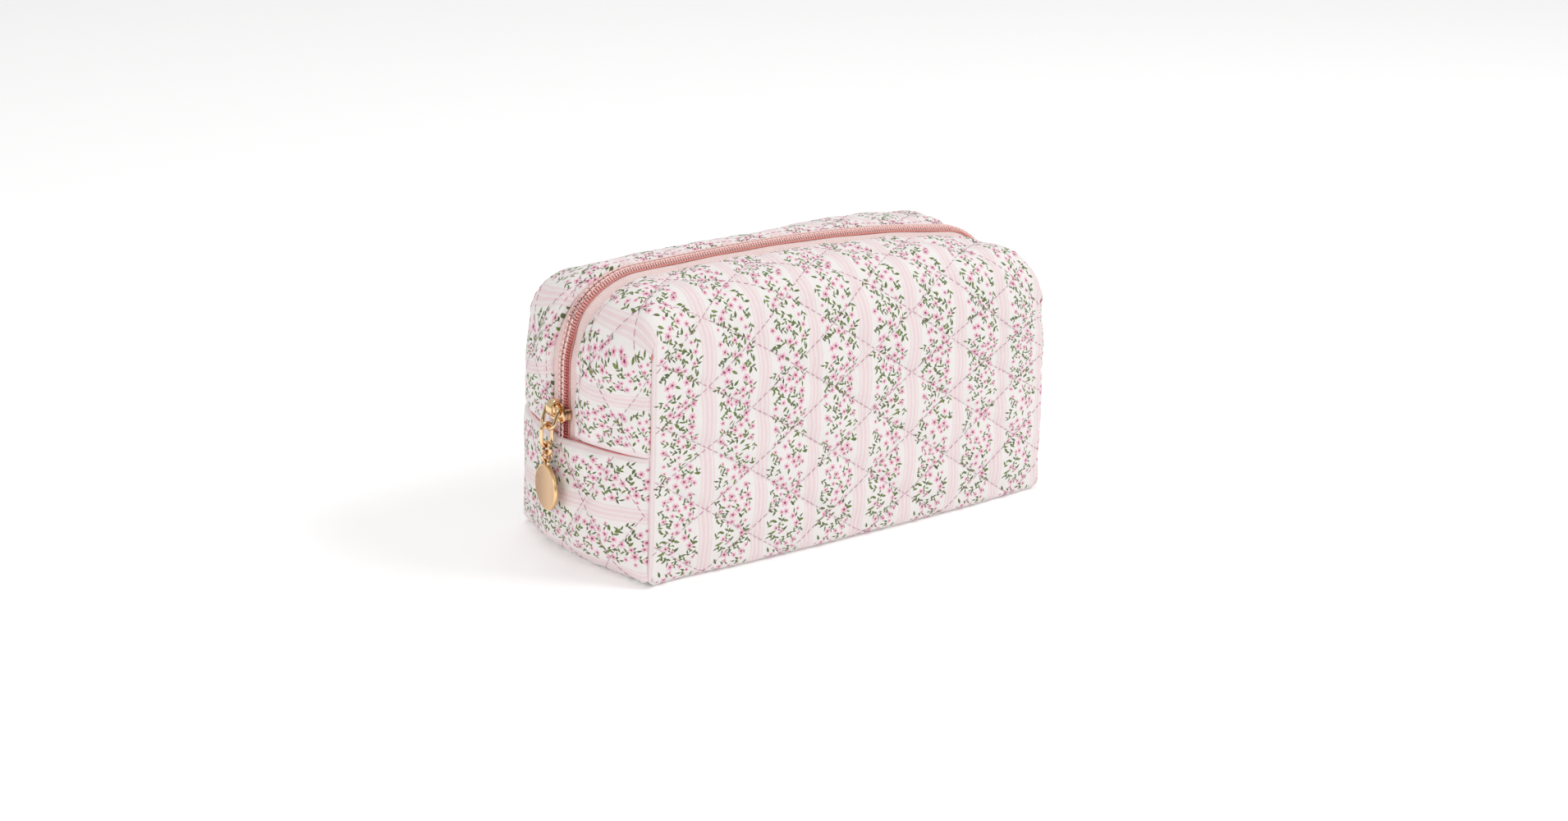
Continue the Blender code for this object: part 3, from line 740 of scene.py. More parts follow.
def print_cloth():
    """White twill with groups of pale pink stripes, and columns of small flowers and sprigs between them."""
    g = Nodes("printed_twill")
    cloth = g.add("ShaderNodeAttribute", attribute_name="cloth_mm")["Vector"]
    u, v, _ = g.split(cloth)
    wobble = g.times_plus(g.noise(cloth, 0.9, 1.0), 0.35, -0.17)
    tile_u = g.calc("WRAP", g.minus(u, STRIPE_U), STRIPE_PITCH, 0.0)
    t = g.plus(g.calc("PINGPONG", g.minus(u, STRIPE_U), STRIPE_PITCH / 2), wobble)
    inner = g.times(g.band(t, 0.20, 0.45), g.band(t, 1.70, 1.42))
    outer = g.times(g.band(t, 2.10, 2.35), g.band(t, 3.10, 2.80))
    twill = g.calc("SINE", g.times(g.times_plus(v, 0.8, u), 11.0))
    threads = g.times_plus(twill, 0.5, 0.5)
    fleck = g.noise(cloth, 5.0, 3.0)
    stripe = g.most(inner, g.times(outer, 0.75))
    stripe = g.most(stripe, g.band(t, 3.2, 2.7, 0.0, 0.3))
    stripe = g.times(stripe, g.band(fleck, 0.30, 0.62, 0.6, 1.0))
    colour = g.mix(stripe, COTTON, STRIPE_PINK)

    tile = g.add("ShaderNodeCombineXYZ", (tile_u, v))[0]
    ink = g.band(fleck, 0.2, 0.5, 0.86, 1.0)

    def lay(under, layer_colour, cover, *masks):
        for mask in (ink, *masks):
            cover = g.times(cover, mask)
        return g.mix(cover, under, layer_colour)

    local, centre, chance = scattered(g, tile, 4.15, 0.9, 17.3)
    shade, cover = sprigs(g, local, chance, 0.77)
    colour = lay(colour, shade, cover, clear_of_stripe(g, centre, 0.9), g.under(chance[2], 0.82))
    local, centre, chance = scattered(g, tile, 3.35, 0.5, 5.7)
    shade, cover = sprigs(g, local, chance, 0.66)
    some = g.times(g.over(chance[2], 0.62), g.under(chance[2], 0.76))
    colour = lay(colour, shade, cover, clear_of_stripe(g, centre, 0.9), some)
    shade, cover = single_leaves(g, local, chance)
    colour = lay(colour, shade, cover, clear_of_stripe(g, centre, 0.5), g.over(chance[2], 0.76))
    shade, cover, reach = flowers(g, local, chance, 1.85)
    colour = lay(colour, shade, cover, clear_of_stripe(g, centre, reach), g.under(chance[2], 0.62))

    colour = g.mix(g.times(threads, 0.13), colour, (196, 182, 184))
    fine = g.times_plus(g.noise(cloth, 7.0, 4.0), 0.6, g.times(threads, 0.6))
    normal = g.bump(fine, 0.00007, 0.7)
    normal = g.bump(g.noise(cloth, 0.35, 3.0), 0.0006, 0.5, normal)
    rough = g.band(fleck, 0.3, 0.7, 0.78, 0.92)
    return g.set(Base_Color=colour, Roughness=rough, Normal=normal, Sheen_Weight=0.08, Sheen_Roughness=0.5)


def woven(name, colour, shade, pitch, rough, depth=0.00008, slanted=0.0):
    """A plain or slanted weave of one colour."""
    g = Nodes(name)
    place = g.object_mm()
    x, y, z = g.split(place)
    along = g.plus(g.plus(x, z), g.times(y, slanted))
    warp = g.calc("SINE", g.times(along, math.tau / pitch))
    weft = g.calc("SINE", g.times(y, math.tau / pitch))
    weave = g.times_plus(g.times(warp, weft), 0.5, 0.5)
    patch = g.noise(place, 0.4, 3.0)
    tone = g.times(g.plus(weave, patch), 0.5)
    base = g.mix(tone, shade, colour)
    roughness = g.band(patch, 0.3, 0.7, rough - 0.06, min(rough + 0.06, 1.0))
    return g.set(Base_Color=base, Roughness=roughness, Normal=g.bump(weave, depth, 0.8), Sheen_Weight=0.1)


def nylon():
    """The coil: pale where its two rows meet, with painted shade on its flanks, gaps and under the slider."""
    g = Nodes("coil_nylon")
    place = g.object_mm()
    grain = g.noise(place, 2.2, 3.0)
    x, y, z = g.split(place)
    # Painted shade: the flanks are darker than the crown, and darker still over the left arc.
    flank_shade = g.band(g.absolute(y), 0.5, 1.3)
    left = g.band(x, -84.0, -102.0)
    base = g.mix(flank_shade, (255, 228, 222), g.mix(left, (248, 202, 196), (226, 150, 144)))
    # Painted shade in the gap beside the back row of coil stitches.
    valley_shade = g.times(g.band(y, 0.25, 0.6), g.band(y, 2.1, 1.5))
    base = g.mix(g.times(valley_shade, 0.8), base, (212, 146, 140))
    # Painted shadow: dark red along the coil's front edge low on the left arc, for the gap to the tape.
    lower = g.times(g.band(z, 93.0, 84.0), left)
    base = g.mix(g.times(g.band(y, -1.8, -2.3), lower), base, (190, 88, 86))
    # Painted shade: dark red where the coil runs below the slider.
    base = g.mix(g.band(z, 61.0, 55.0), base, (150, 40, 44))
    base = g.mix(g.band(grain, 0.3, 0.7, 0.0, 0.25), base, (240, 170, 164))
    rough = g.band(grain, 0.3, 0.7, 0.32, 0.5)
    return g.set(Base_Color=base, Roughness=rough, Normal=g.bump(grain, 0.00005, 0.5))


def thread(name, light, dark):
    """Twisted sewing thread."""
    g = Nodes(name)
    place = g.object_mm()
    x, y, z = g.split(place)
    twist = g.calc("SINE", g.times(g.plus(g.plus(x, y), z), 14.0))
    share = g.times_plus(twist, 0.5, 0.5)
    base = g.mix(share, dark, light)
    rough = g.band(share, 0, 1, 0.65, 0.8)
    return g.set(Base_Color=base, Roughness=rough, Normal=g.bump(share, 0.00005, 0.8))


def gold(name, light, dark, rough, scratches, depth, side_shade=0.0):
    """depth is how strongly turned-down and far sides take painted brown reflections and a dark streak."""
    g = Nodes(name)
    place = g.object_mm()
    patch = g.noise(place, 0.5, 4.0)
    lines = g.noise(g.vector("MULTIPLY", place, (3.0, 0.6, 14.0)), 1.0, 5.0)
    base = g.mix(patch, dark, light)
    # Painted reflections: brown on sides that face down and on sides that face the back (+y).
    facing = g.split(g.add("ShaderNodeTexCoord")["Normal"])
    base = g.mix(g.band(facing[2], 0.0, -0.75, 0.0, depth), base, (190, 98, 26))
    base = g.mix(g.band(facing[1], 0.15, 0.8, 0.0, depth), base, (150, 84, 32))
    # Painted reflection: a dark streak on sides that tilt a little up and face the front (-y).
    dark_reflection_streak = g.times(g.band(facing[2], 0.55, 0.35), g.band(facing[2], 0.02, 0.2))
    dark_reflection_streak = g.times(dark_reflection_streak, g.band(facing[1], -0.2, -0.5))
    base = g.mix(g.times(dark_reflection_streak, depth), base, (74, 34, 12))
    # Painted shade: the colour darkens towards +y.
    base = g.mix(g.band(g.split(place)[1], -5.0, 8.0, 0.0, side_shade), base, (170, 132, 98))
    roughness = g.plus(g.band(patch, 0.3, 0.7, rough * 0.8, rough * 1.2), g.times(lines, scratches))
    normal = g.bump(lines, 0.00002, scratches * 2)
    return g.set(Base_Color=base, Metallic=1.0, Roughness=roughness, Normal=normal)


PRINT = print_cloth()
LINING = woven("lining_sateen", (246, 222, 222), (232, 198, 200), 0.5, 0.62)
BINDING = woven("binding_tape", (236, 180, 182), (212, 148, 152), 0.6, 0.85)
TAPE = woven("zip_tape", (242, 227, 223), (222, 188, 186), 1.25, 0.85, 0.00025, 0.6)
COIL = nylon()
COIL_THREAD = thread("coil_thread", (252, 230, 224), (240, 194, 188))
# A darker cord along the coil's outer edge: painted shadow for the gap between coil and tape.
SHADOW_EDGE_CORD = thread("zip_edge_shadow_cord", (232, 156, 144), (212, 128, 118))
SEAM_THREAD = thread("seam_thread", (228, 136, 132), (208, 104, 104))
QUILT_THREAD = thread("quilt_thread", (208, 138, 166), (170, 106, 138))
EDGE_THREAD = thread("edge_thread", (232, 178, 194), (198, 138, 160))
GOLD = gold("polished_gold", (253, 228, 188), (242, 206, 154), 0.14, 0.03, 0.85)
GOLD_RIM = gold("disc_rim_gold", (250, 216, 166), (238, 198, 142), 0.2, 0.03, 0.25)
GOLD_SATIN = gold("satin_gold", (232, 200, 164), (220, 184, 146), 0.34, 0.12, 0.0, 0.75)
INSIDE = (LINING, 0.5, "lining", 0.1)


# ---- outer fabric, lining and their stitches ----


def settle(obj, body_name, material_slot):
    """Attaches a bag piece to the bag's body; a lip piece keeps its place, its transform baked into the mesh.
    """
    if body_name == "bag":
        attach(obj, "bag")
        return
    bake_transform(obj)


def heading(path, i):
    """Unit direction of a path of points at one of them."""
    along = path[min(i + 1, len(path) - 1)] - path[max(i - 1, 0)]
    return along / np.linalg.norm(along)


def tube_faces(rows, sides, start=0):
    """Faces of rows of rings of points, with both ends closed."""
    faces = []
    for i in range(rows - 1):
        for k in range(sides):
            a, b = start + i * sides + k, start + i * sides + (k + 1) % sides
            faces.append((a, a + sides, b + sides, b))
    faces.append(tuple(start + k for k in range(sides)))
    last = start + (rows - 1) * sides
    faces.append(tuple(last + k for k in reversed(range(sides))))
    return faces


def tubes(paths, radii, sides):
    """Points and faces of round strands, one to a path. radii are shared, one to a point of a path."""
    all_points, faces = [], []
    ring = [(math.cos(math.tau * k / sides), math.sin(math.tau * k / sides)) for k in range(sides)]
    for path in paths:
        path = np.asarray(path)
        start = len(all_points)
        for i, point in enumerate(path):
            tangent = heading(path, i)
            helper = np.array([0, 0, 1.0]) if abs(tangent[2]) < 0.8 else np.array([1.0, 0, 0])
            first = np.cross(tangent, helper)
            first /= np.linalg.norm(first)
            second = np.cross(tangent, first)
            for a, b in ring:
                all_points.append(point + radii[i] * (a * first + b * second))
        faces += tube_faces(len(path), sides, start)
    return all_points, faces


def cross(a, b):
    return a[0] * b[1] - b[0] * a[1]


class Surface:
    """Looks up points of a made sheet by their place on the flat cloth."""

    def __init__(self, cloth):
        self.fields = (cloth.points, cloth.normals, cloth.groove)
        flat = [(float(u), float(v), 0.0) for u, v in cloth.uv]
        self.triangles = [t for f in cloth.faces for t in ((f[0], f[1], f[2]), (f[0], f[2], f[3]))]
        self.flat = np.array(flat)
        self.tree = BVHTree.FromPolygons(flat, self.triangles)

    def at(self, u, v):
        """(point, normal, groove depth), or None off the sheet."""
        _, _, index, distance = self.tree.find_nearest(Vector((u, v, 0.0)), 0.5)
        if index is None or distance > 0.1:
            return None
        corners = self.triangles[index]
        a, b, c = (self.flat[i, :2] for i in corners)
        place, b, c = np.array([u, v]) - a, b - a, c - a
        area = cross(b, c)
        if abs(area) < 1e-9:
            return None
        share_b, share_c = cross(place, c) / area, cross(b, place) / area
        weights = np.array([1 - share_b - share_c, share_b, share_c])
        point, normal, groove = (weights @ field[list(corners)] for field in self.fields)
        return point, normal / np.linalg.norm(normal), groove


def stitch(surface, start, end, radius):
    """Path of one stitch between two places on the flat cloth, or None where there is no open cloth."""
    path = []
    proud = radius * 0.7
    for share, lift in ((0.0, -STITCH_SINK), (0.22, proud), (0.78, proud), (1.0, -STITCH_SINK)):
        found = surface.at(start[0] + (end[0] - start[0]) * share, start[1] + (end[1] - start[1]) * share)
        if not found or found[2] > 0.35:
            return None
        path.append(found[0] + found[1] * lift)
    if np.linalg.norm(path[0] - path[-1]) > 5.0:
        return None
    return path


def quilting(surface, pitch=2.9, gap=0.55, radius=0.17):
    """Stitches along both families of quilting lines."""
    low, high = surface.flat[:, :2].min(0), surface.flat[:, :2].max(0)
    length = math.hypot(QUILT_HALF_U, QUILT_HALF_V)
    reach = round(26 * length / pitch)
    paths = []
    for family in (1, -1):
        for k in range(-12, 13):
            for i in range(-reach, reach):
                ends = []
                for offset in (0.0, pitch - gap):
                    s = (i * pitch + offset) / length
                    ends.append((QUILT_U + QUILT_HALF_U * (k + s), QUILT_V + QUILT_HALF_V * (k - s) * family))
                (u, v), _ = ends
                if low[0] < u < high[0] and low[1] < v < high[1]:
                    paths.append(stitch(surface, *ends, radius))
    return [path for path in paths if path]


def topstitching(surface, v, pitch=3.0, gap=0.7, radius=0.16):
    """A row of stitches along the zip."""
    starts = [i * pitch for i in range(round(-148 / pitch), round(148 / pitch))]
    paths = [stitch(surface, (u, v), (u + pitch - gap, v), radius) for u in starts]
    return [path for path in paths if path]


def strands(name, paths, radii, sides, material, body, slot="binding"):
    """One piece of many round threads, cords or loops."""
    settle(make_mesh(name, *tubes(paths, radii, sides), material), body, slot)


def soft(name, cloth, body, looks, nodes, uv=None):
    """A padded piece of fabric that stands for CAD nodes. looks is (material, thickness, slot, fill)."""
    material, thickness, slot, fill = looks
    piece = make_mesh(name, cloth.points, cloth.faces, material, uv)
    thicken(piece, thickness)
    settle(piece, body, slot)
    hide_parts(*nodes)


def corner_seams(name, cloth, body):
    """Seam thread down in the creases where the front and back meet the ends, also painted shade in them."""
    paths = []
    for index in cloth.corners:
        points = cloth.points[index]
        steps = run(points)
        even = np.linspace(0, steps[-1], 40)
        path = stack(*[np.interp(even, steps, points[:, k]) for k in range(3)])
        paths.append(path + np.sign(path[0]) * (*CORNER_OUT, 0.0) * 0.55)
    strands(name, paths, [0.3] * 40, 7, SEAM_THREAD, body)


def build_soft():
    for word, back in (("front", False), ("back", True)):
        lip = f"{word}_lip"
        shared = [] if back else ["body_panel"]
        cloth = half_sheet(OUTER, back)
        swell(cloth)
        nodes = [f"quilted_{n}" for n in (lip, f"left_end_upper_{word}", f"right_end_upper_{word}", *shared)]
        soft(f"quilted_{word}_half", cloth, lip, (PRINT, FABRIC, "quilt", 0.35), nodes, cloth.uv)
        surface = Surface(cloth)
        strands(f"{word}_quilting_thread", quilting(surface), STITCH_RADII, 5, QUILT_THREAD, lip)
        edge = topstitching(surface, -TOPSTITCH if back else TOPSTITCH)
        strands(f"{word}_zip_topstitching", edge, STITCH_RADII, 5, EDGE_THREAD, lip)
        corner_seams(f"{word}_upper_corner_thread_and_shade", cloth, lip)
        cloth = half_sheet(INNER, back)
        soft(f"lining_{word}_half", cloth, lip, INSIDE, [f"lining_{n}" for n in (lip, *shared)])
    for side, word in ((-1, "left"), (1, "right")):
        cloth = end_panel(OUTER, side)
        swell(cloth)
        looks = (PRINT, FABRIC, "quilt", 0.4)
        soft(f"quilted_{word}_end_panel", cloth, "bag", looks, [f"quilted_{word}_end_lower"], cloth.uv)
        lines = quilting(Surface(cloth))
        strands(f"{word}_end_quilting_thread", lines, STITCH_RADII, 5, QUILT_THREAD, "bag")
        corner_seams(f"{word}_lower_corner_thread_and_shade", cloth, "bag")
        cloth = end_panel(INNER, side)
        soft(f"lining_{word}_end_panel", cloth, "bag", INSIDE, [f"lining_{word}_end"])


# ---- zip ----


class ZipPath:
    """The zip's run in the plane y = 0, by distance along it from the left end seam."""

    def __init__(self):
        points, _ = upper_sheet(np.linspace(0, 6, 1500), np.array([0.0]))
        points = sag(points[:, 0].copy())
        low = [points[0] - np.array([0, 0, d]) for d in (6.0, 3.0)]
        high = [points[-1] - np.array([0, 0, d]) for d in (3.0, 6.0)]
        self.points = np.array([*low, *points, *high])[:, [0, 2]]
        self.s = run(self.points) - 6.0
        self.length = float(self.s[-1]) - 6.0

    def place(self, s):
        return np.array([np.interp(s, self.s, self.points[:, k]) for k in (0, 1)])

    def at(self, s, y, height):
        """The point at distance s along the zip, y across and that height above the zip's level."""
        height += zip_rise(self, s, y)
        x, z = self.place(s)
        tangent = self.place(s + 0.5) - self.place(s - 0.5)
        tangent /= np.linalg.norm(tangent)
        return np.array([x - tangent[1] * height, y, z + tangent[0] * height])


def zip_rise(path, s, y):
    """The zip lies low where the slider travels and at its far end, and stands proud on the rest."""
    middle = 1.7 * smooth((s - 36.0) / 14.0) * smooth((path.length - 22.0 - s) / 14.0)
    return middle * (1 - smooth((abs(y) - 4.2) / 3.4))


def coil_profile(reach):
    """One coil loop from its inner end to the tape: (y from the middle, height, lean along the zip)."""
    inner = ((0.50, -1.60, 0.30), (0.70, -1.20, 0.20), (1.30, -1.15, 0.0))
    outer = ((2.35, -1.20, -0.20), (2.90, -1.60, -0.25), (3.00, -2.30, -0.25))
    return (*inner, *[(y * reach, height, lean) for y, height, lean in outer])


def build_zip():
    path = ZipPath()
    at = path.at
    stops = np.arange(-5.0, path.length + 5.0, 1.3)
    for word, side, shift, reach in (("front", -1, 0.0, 0.86), ("back", 1, COIL_PITCH / 2, 1.0)):
        lip = f"{word}_lip"
        kinds = [f"{word}_zip", *(["left_end_zip", "right_end_zip"] if word == "front" else [])]
        rows = [0.45, 1.5, 3.0, 4.4, 5.4, 6.4, 7.4, 8.4, 9.6]
        points = [at(s, side * y, -2.6 + 0.12 * math.sin(s * 0.21 + y)) for s in stops for y in rows]
        tape = Cloth()
        tape.points, tape.faces = points, [f[::side] for f in grid_faces(len(stops), len(rows))]
        looks = (TAPE, 0.4, "tape", 0.05)
        soft(f"{word}_zip_tape_woven", tape, lip, looks, [f"{kind}_tape" for kind in kinds])

        starts = np.arange(-4.5 + shift, path.length + 4.5, COIL_PITCH)
        bars = [[at(s + lean, side * y, height) for y, height, lean in coil_profile(reach)] for s in starts]
        coil = make_mesh(f"{word}_zip_coil_loops", *tubes(bars, COIL_RADII, 7), COIL)
        settle(coil, lip, "coil")
        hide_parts(*[f"{kind}_coil" for kind in kinds])
        sewn = []
        for s in np.arange(-4.5 + shift, path.length + 3.0, 2 * COIL_PITCH):
            for spread in (-0.34, 0.34):
                steps = ((-0.2, 1, -0.85), (0.3, 1, -0.6), (1.3, 0.5, -0.56), (2.2, 0, -0.85))
                sewn.append([at(s + along, side * (1.05 + spread * out), h) for along, out, h in steps])
        strands(f"{word}_zip_coil_stitching", sewn, COIL_STITCH_RADII, 6, COIL_THREAD, lip, "coil")
        # Painted shadow: a darker cord along the coil's outer edge, where coil meets tape.
        cord = [at(s, side * (3.0 * reach + 0.42), -2.15) for s in stops]
        strands(f"{word}_zip_coil_edge_shadow_cord", [cord], [0.24] * len(cord), 7, SHADOW_EDGE_CORD, lip, "coil")


# ---- bindings inside ----


def flat_tube(path, across, width, thickness, sides=14):
    """A flattened round band along a path. across gives the direction of its width at each point."""
    points = []
    for i, point in enumerate(path):
        tangent = heading(path, i)
        wide = across[i] / np.linalg.norm(across[i])
        thick = np.cross(tangent, wide)
        for k in range(sides):
            angle = math.tau * k / sides
            aside, up = math.cos(angle) * width / 2, math.sin(angle) * thickness / 2
            points.append(point + wide * aside + thick * up)
    return points, [(f[0], *f[:0:-1]) for f in tube_faces(len(path), sides)]


def build_bindings():
    def band(name, path, across, width, thickness, node):
        piece = make_mesh(name, *flat_tube(path, across, width, thickness), BINDING)
        settle(piece, "bag", "binding")
        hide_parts(node)

    for side, word in ((-1, "left"), (1, "right")):
        ys = np.linspace(-34, 34, 60)
        path = [np.array([side * (end_x(y) - 6.6), y, 49.1 + 0.15 * math.sin(y * 0.5)]) for y in ys]
        across = [np.array([1.0, 0.0, 0.06 * math.sin(y)]) for y in ys]
        band(f"{word}_end_seam_tape", path, across, 4.8, 1.3, f"{word}_end_seam_binding")
        line = [np.array([side * (end_x(y) - 1.45), y, END_SEAM_Z + 0.1 * math.sin(y * 0.9)]) for y in ys]
        strands(f"{word}_end_seam_thread", [line], [0.19] * len(line), 8, SEAM_THREAD, "bag")
        for sign, half in ((-1, "front"), (1, "back")):
            zs = np.linspace(10, 84, 60)
            path = [np.array([side * 90.3, sign * 35.8, z]) for z in zs]
            across = [np.array([side * 1.0, sign * 1.0, 0.05 * math.sin(z * 0.6)]) for z in zs]
            band(f"{word}_{half}_corner_tape", path, across, 5.0, 1.2, f"{word}_{half}_corner_binding")


# ---- slider and pull ----


def hard(name, bm, body, node=None, bevel=None, material=GOLD):
    """A metal piece made in millimetres."""
    bmesh.ops.recalc_face_normals(bm, faces=bm.faces)
    bm.transform(Matrix.Scale(MM, 4))
    mesh = bpy.data.meshes.new(name)
    bm.to_mesh(mesh)
    bm.free()
    mesh.materials.append(material)
    obj = link(name, mesh)
    if bevel:
        modifier = obj.modifiers.new("bevel", "BEVEL")
        modifier.width = bevel * MM
        modifier.segments = 3
        modifier.limit_method = "ANGLE"
        modifier.angle_limit = math.radians(35)
    mesh.shade_smooth()
    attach(obj, body)
    if node:
        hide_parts(node)
    return obj


def skin(bm, rings):
    """The faces between rings of vertices, each ring joined to the next."""
    faces = []
    for a, b in zip(rings, rings[1:]):
        for k in range(len(a)):
            m = (k + 1) % len(a)
            faces.append(bm.faces.new(dict.fromkeys((a[k], b[k], b[m], a[m]))))
    return faces


def prism(outline, x_low, x_high):
    """A (y, z) outline pulled along X."""
    bm = bmesh.new()
    low, high = ([bm.verts.new((x, y, z)) for y, z in outline] for x in (x_low, x_high))
    bm.faces.new(low)
    bm.faces.new(high[::-1])
    skin(bm, [low, high])
    return bm


def stadium_path(half_width, radius, length, steps=10):
    corners = (
        (half_width - radius, radius, -math.pi / 2),
        (half_width - radius, length - radius, 0.0),
        (radius - half_width, length - radius, math.pi / 2),
        (radius - half_width, radius, math.pi),
    )
    points = []
    for across, down, start in corners:
        for step in range(steps + 1):
            angle = start + math.pi / 2 * step / steps
            point = (across + radius * math.cos(angle), down + radius * math.sin(angle))
            if not points or math.dist(point, points[-1]) > 1e-4:
                points.append(point)
    if math.dist(points[0], points[-1]) < 1e-4:
        points.pop()
    return points


def loop(points, radius, sides=14, flatten=1.0, flat_axis=(1.0, 0.0, 0.0)):
    """A closed ring of wire as a bmesh."""
    bm = bmesh.new()
    points = [Vector(p) for p in points]
    n = len(points)
    rings = []
    for i, point in enumerate(points):
        tangent = (points[(i + 1) % n] - points[i - 1]).normalized()
        plane = Vector(flat_axis)
        out = tangent.cross(plane).normalized()
        plane = out.cross(tangent).normalized()
        ring = []
        for k in range(sides):
            angle = math.tau * k / sides
            offset = math.cos(angle) * out + flatten * math.sin(angle) * plane
            ring.append(bm.verts.new(point + radius * offset))
        rings.append(ring)
    skin(bm, [*rings, rings[0]])
    return bm


def circle(centre, radius, plane, steps=40):
    x, y, z = centre
    turns = [math.tau * k / steps for k in range(steps)]
    if plane == "yz":
        return [(x, y + radius * math.sin(a), z + radius * math.cos(a)) for a in turns]
    return [(x + radius * math.sin(a), y, z + radius * math.cos(a)) for a in turns]


def build_slider():
    """Two plates joined by a thin post, with flanges round the coil."""
    low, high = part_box("zip_slider")
    z_low, z_high = low[2] / MM + 0.9, high[2] / MM - 2.6
    half = high[1] / MM * 0.86
    right = [
        (half * 0.74, z_high),
        (half * 0.9, z_high - 2.2),
        (half, z_low + 4.2),
        (half, z_low + 1.4),
        (half * 0.72, z_low),
        (half * 0.25, z_low),
    ]
    left = [(-y, z) for y, z in right]
    body = [left[0], *right, (0.0, z_low + 0.8), *left[:0:-1]]
    plate = prism(body, SLIDER_FACE_X - 0.1, SLIDER_FACE_X + 1.0)
    hard("slider_outer_plate", plate, "slider", "zip_slider", 0.42)
    inner = [(y * 0.92, z) for y, z in body]
    hard("slider_inner_plate", prism(inner, POST_END_X, POST_END_X + 0.8), "slider", bevel=0.35)
    post = [(-0.12, z_low + 1.2), (0.12, z_low + 1.2), (0.12, z_low + 3.4), (-0.12, z_low + 3.4)]
    hard("slider_post", prism(post, SLIDER_FACE_X + 0.6, POST_END_X), "slider", bevel=0.04)
    for sign, word in ((-1, "front"), (1, "back")):
        side = [
            (sign * (half - 1.15), z_low + 1.3),
            (sign * (half - 0.05), z_low + 1.3),
            (sign * (half - 0.05), z_low + 4.3),
            (sign * half * 0.9, z_high - 2.0),
            (sign * (half * 0.9 - 1.0), z_high - 2.0),
            (sign * (half - 1.15), z_low + 4.3),
        ]
        flange = prism(side, SLIDER_FACE_X + 0.4, SLIDER_FACE_X + 3.4)
        hard(f"slider_{word}_flange", flange, "slider", bevel=0.4)


def build_bridge():
    """The arched bridge of the slider, which the bail goes through."""
    arch = []
    for k in range(13):
        angle = math.pi * k / 12
        x = SLIDER_FACE_X + 0.3 - 3.6 * math.sin(angle) ** 0.6
        arch.append(Vector((x, 0.0, BRIDGE_Z + 2.9 * math.cos(angle))))
    bm = bmesh.new()
    rings = []
    for i, point in enumerate(arch):
        tangent = (arch[min(i + 1, 12)] - arch[max(i - 1, 0)]).normalized()
        normal = tangent.cross(Vector((0, 1, 0))).normalized()
        w = 1.5 + 0.35 * math.sin(math.pi * i / 12)
        section = ((-w, -0.45), (-w, 0.45), (-w * 0.5, 0.6), (w * 0.5, 0.6), (w, 0.45), (w, -0.45))
        rings.append([bm.verts.new(point + Vector((0, y, 0)) - normal * t) for y, t in section])
    skin(bm, rings)
    bm.faces.new(rings[0])
    bm.faces.new(rings[-1][::-1])
    hard("slider_bridge", bm, "slider", bevel=0.2)


def build_pull():
    """The bail, the chain and the disc, each hung from the one above with a small free gap."""
    tilt = math.radians(BAIL_TILT)
    top = Vector(BAIL_TOP)
    down = Vector((-math.sin(tilt), 0.0, -math.cos(tilt)))
    across = Vector((0.0, 1.0, 0.0))
    bail = [top + across * a + down * d for a, d in stadium_path(3.9, 2.3, BAIL_LENGTH)]
    face = across.cross(down)
    hard("pull_bail_loop", loop(bail, 0.84, flat_axis=face, flatten=0.85), "bail", "pull_bail")
    held = top + down * BAIL_LENGTH
    x = held.x
    link_top = held.z + 1.55
    oval = [(x + a, 0.0, link_top - d) for a, d in stadium_path(2.4, 2.4, LINK_LENGTH)]
    hard("pull_oval_link", loop(oval, LINK_WIRE, flat_axis=(0, 1, 0)), "link", "oval_link")
    ring_z = link_top - LINK_LENGTH + LINK_WIRE + 0.1 + RING_WIRE - RING_R
    ring = loop(circle((x, 0, ring_z), RING_R, "yz"), RING_WIRE)
    hard("pull_jump_ring", ring, "ring", "jump_ring")
    small_z = ring_z - RING_R + RING_WIRE + 0.1 + SMALL_WIRE - SMALL_R
    small = loop(circle((x, 0, small_z), SMALL_R, "xz"), SMALL_WIRE, flat_axis=(0, 1, 0))
    hard("pull_small_ring", small, "small_ring", "small_ring")
    eye_z = small_z - SMALL_R + SMALL_WIRE + 0.3 - 1.2
    eye = loop(circle((x, 0, eye_z), 1.62, "yz", 32), 0.42, flatten=1.2)
    turn_disc(eye, (x, 0, 0))
    hard("pull_disc_eye", eye, "disc")
    build_disc(x, eye_z - 10.0)


def turn_disc(bm, centre):
    """The disc and its eye hang turned a little on their ring."""
    bmesh.ops.rotate(bm, verts=bm.verts, cent=centre, matrix=Matrix.Rotation(math.radians(DISC_TURN), 3, "Z"))


def build_disc(x, z):
    """The blank disc, turned on a lathe: satin faces and a polished edge."""
    profile = [(0.0, 0.80), (8.25, 0.80), (8.5, 0.76), (8.7, 0.62), (8.8, 0.4)]
    profile = profile + [(r, -t) for r, t in reversed(profile)]
    steps = 72
    turns = [math.tau * k / steps for k in range(steps)]
    bm = bmesh.new()
    rings = []
    for radius, height in profile:
        if radius == 0.0:
            rings.append([bm.verts.new((x + height, 0, z))] * steps)
        else:
            places = [(x + height, radius * math.sin(a), z + radius * math.cos(a)) for a in turns]
            rings.append([bm.verts.new(place) for place in places])
    faces = skin(bm, rings)
    for face in faces[:steps] + faces[-steps:]:
        face.material_index = 1
    turn_disc(bm, (x, 0, z))
    disc = hard("pull_disc_blank", bm, "disc", "pull_disc", material=GOLD_RIM)
    disc.data.materials.append(GOLD_SATIN)


# ---- floor, light and camera ----


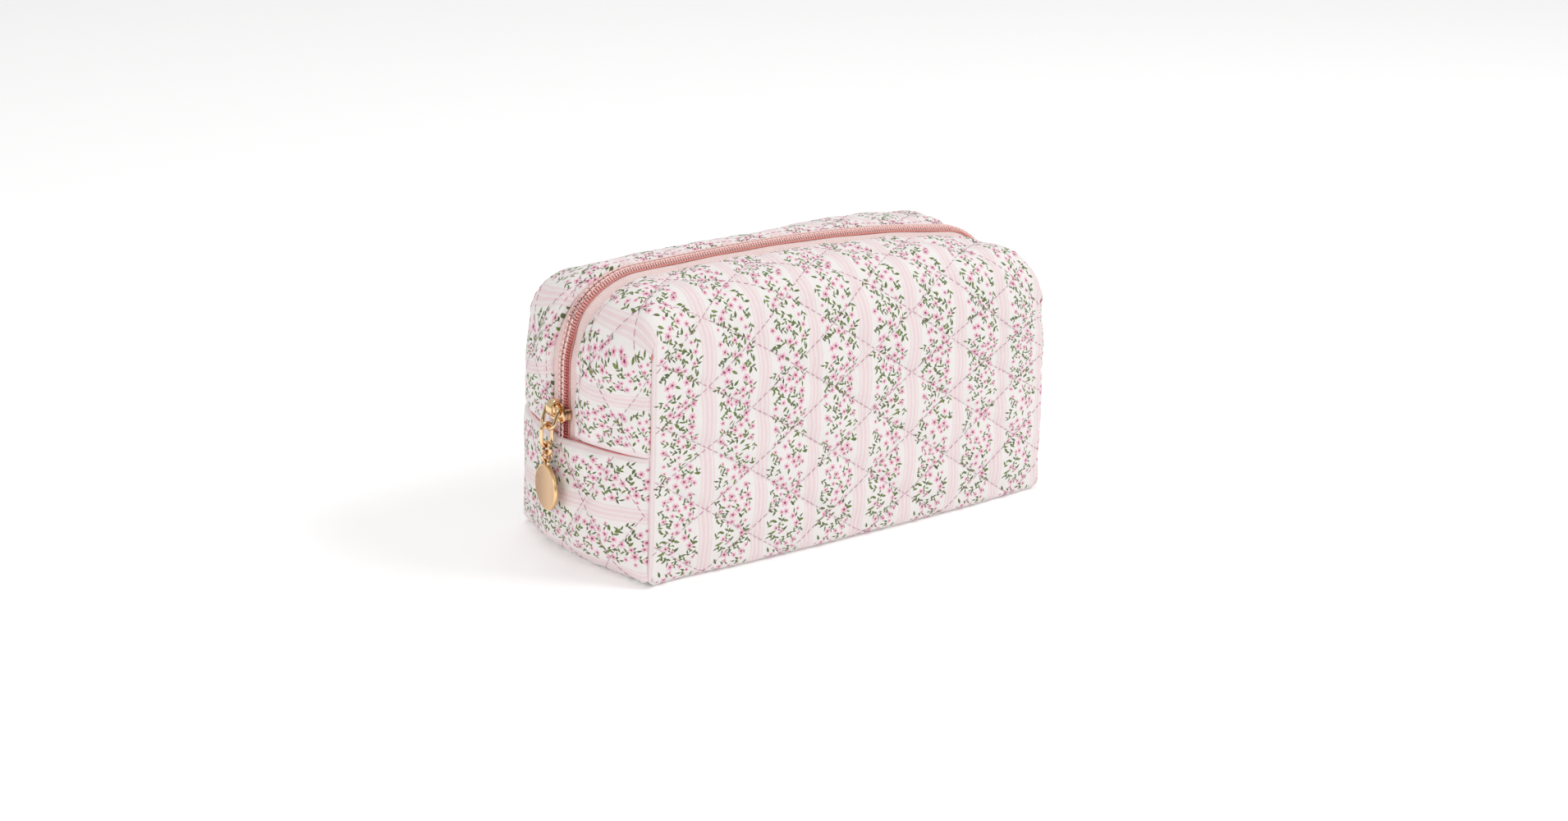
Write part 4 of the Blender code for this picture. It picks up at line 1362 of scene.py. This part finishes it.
def build_stage():
    bpy.ops.mesh.primitive_plane_add(size=8.0, location=(0, 0, -0.0002))
    floor = bpy.context.object
    floor.name = "floor"
    g = Nodes("pale_floor")
    g.set(Base_Color=(0.97, 0.97, 0.97, 1), Roughness=0.7)
    g.set(Emission_Color=(1.0, 1.0, 1.0, 1), Emission_Strength=0.14)
    floor.data.materials.append(g.material)

    world = bpy.data.worlds.new("studio")
    bpy.context.scene.world = world
    world.use_nodes = True
    background = world.node_tree.nodes["Background"]
    background.inputs["Color"].default_value = (1.0, 1.0, 1.0, 1)
    background.inputs["Strength"].default_value = 0.55

    def area(name, location, target, size, power, colour=(1.0, 1.0, 1.0)):
        data = bpy.data.lights.new(name, "AREA")
        data.shape = "RECTANGLE"
        data.size, data.size_y = size
        data.energy = power
        data.color = colour
        light = link(name, data)
        light.location = location
        light.rotation_euler = (Vector(target) - Vector(location)).to_track_quat("-Z", "Y").to_euler()

    area("key", (0.85, -0.7, 1.15), (0, 0, 0.05), (0.6, 0.6), 8.5)
    area("front", (-0.1, -1.4, 0.7), (0, 0, 0.05), (0.8, 0.6), 1.0)
    area("left", (-1.3, -0.5, 0.7), (0, 0, 0.05), (0.6, 0.8), 4.9, (1.0, 0.955, 0.94))
    area("top", (0.1, 0.4, 1.5), (0, 0, 0.05), (0.9, 0.6), 4.4)


def build_camera():
    """The viewpoint fitted to the bag's outline, its stripes and its seams."""
    azimuth, elevation, roll_angle = (math.radians(a) for a in (38.36, 18.93, 1.88))
    target = Vector((-0.00238, 0.0, 0.03966))
    level = math.cos(elevation)
    back = Vector((-math.sin(azimuth) * level, -math.cos(azimuth) * level, math.sin(elevation)))
    right = (-back).cross(Vector((0, 0, 1))).normalized()
    up = right.cross(-back)
    turned_right = right * math.cos(roll_angle) + up * math.sin(roll_angle)
    turned_up = -right * math.sin(roll_angle) + up * math.cos(roll_angle)
    data = bpy.data.cameras.new("camera")
    data.lens = 74.09
    data.sensor_width = 36.0
    camera = link("camera", data)
    rotation = Matrix((turned_right, turned_up, back)).transposed()
    camera.matrix_world = Matrix.Translation(target + back * 1.270) @ rotation.to_4x4()
    bpy.context.scene.camera = camera


build_soft()
build_zip()
build_bindings()
build_slider()
build_bridge()
build_pull()
build_stage()
build_camera()
bpy.context.scene.view_settings.view_transform = "Standard"
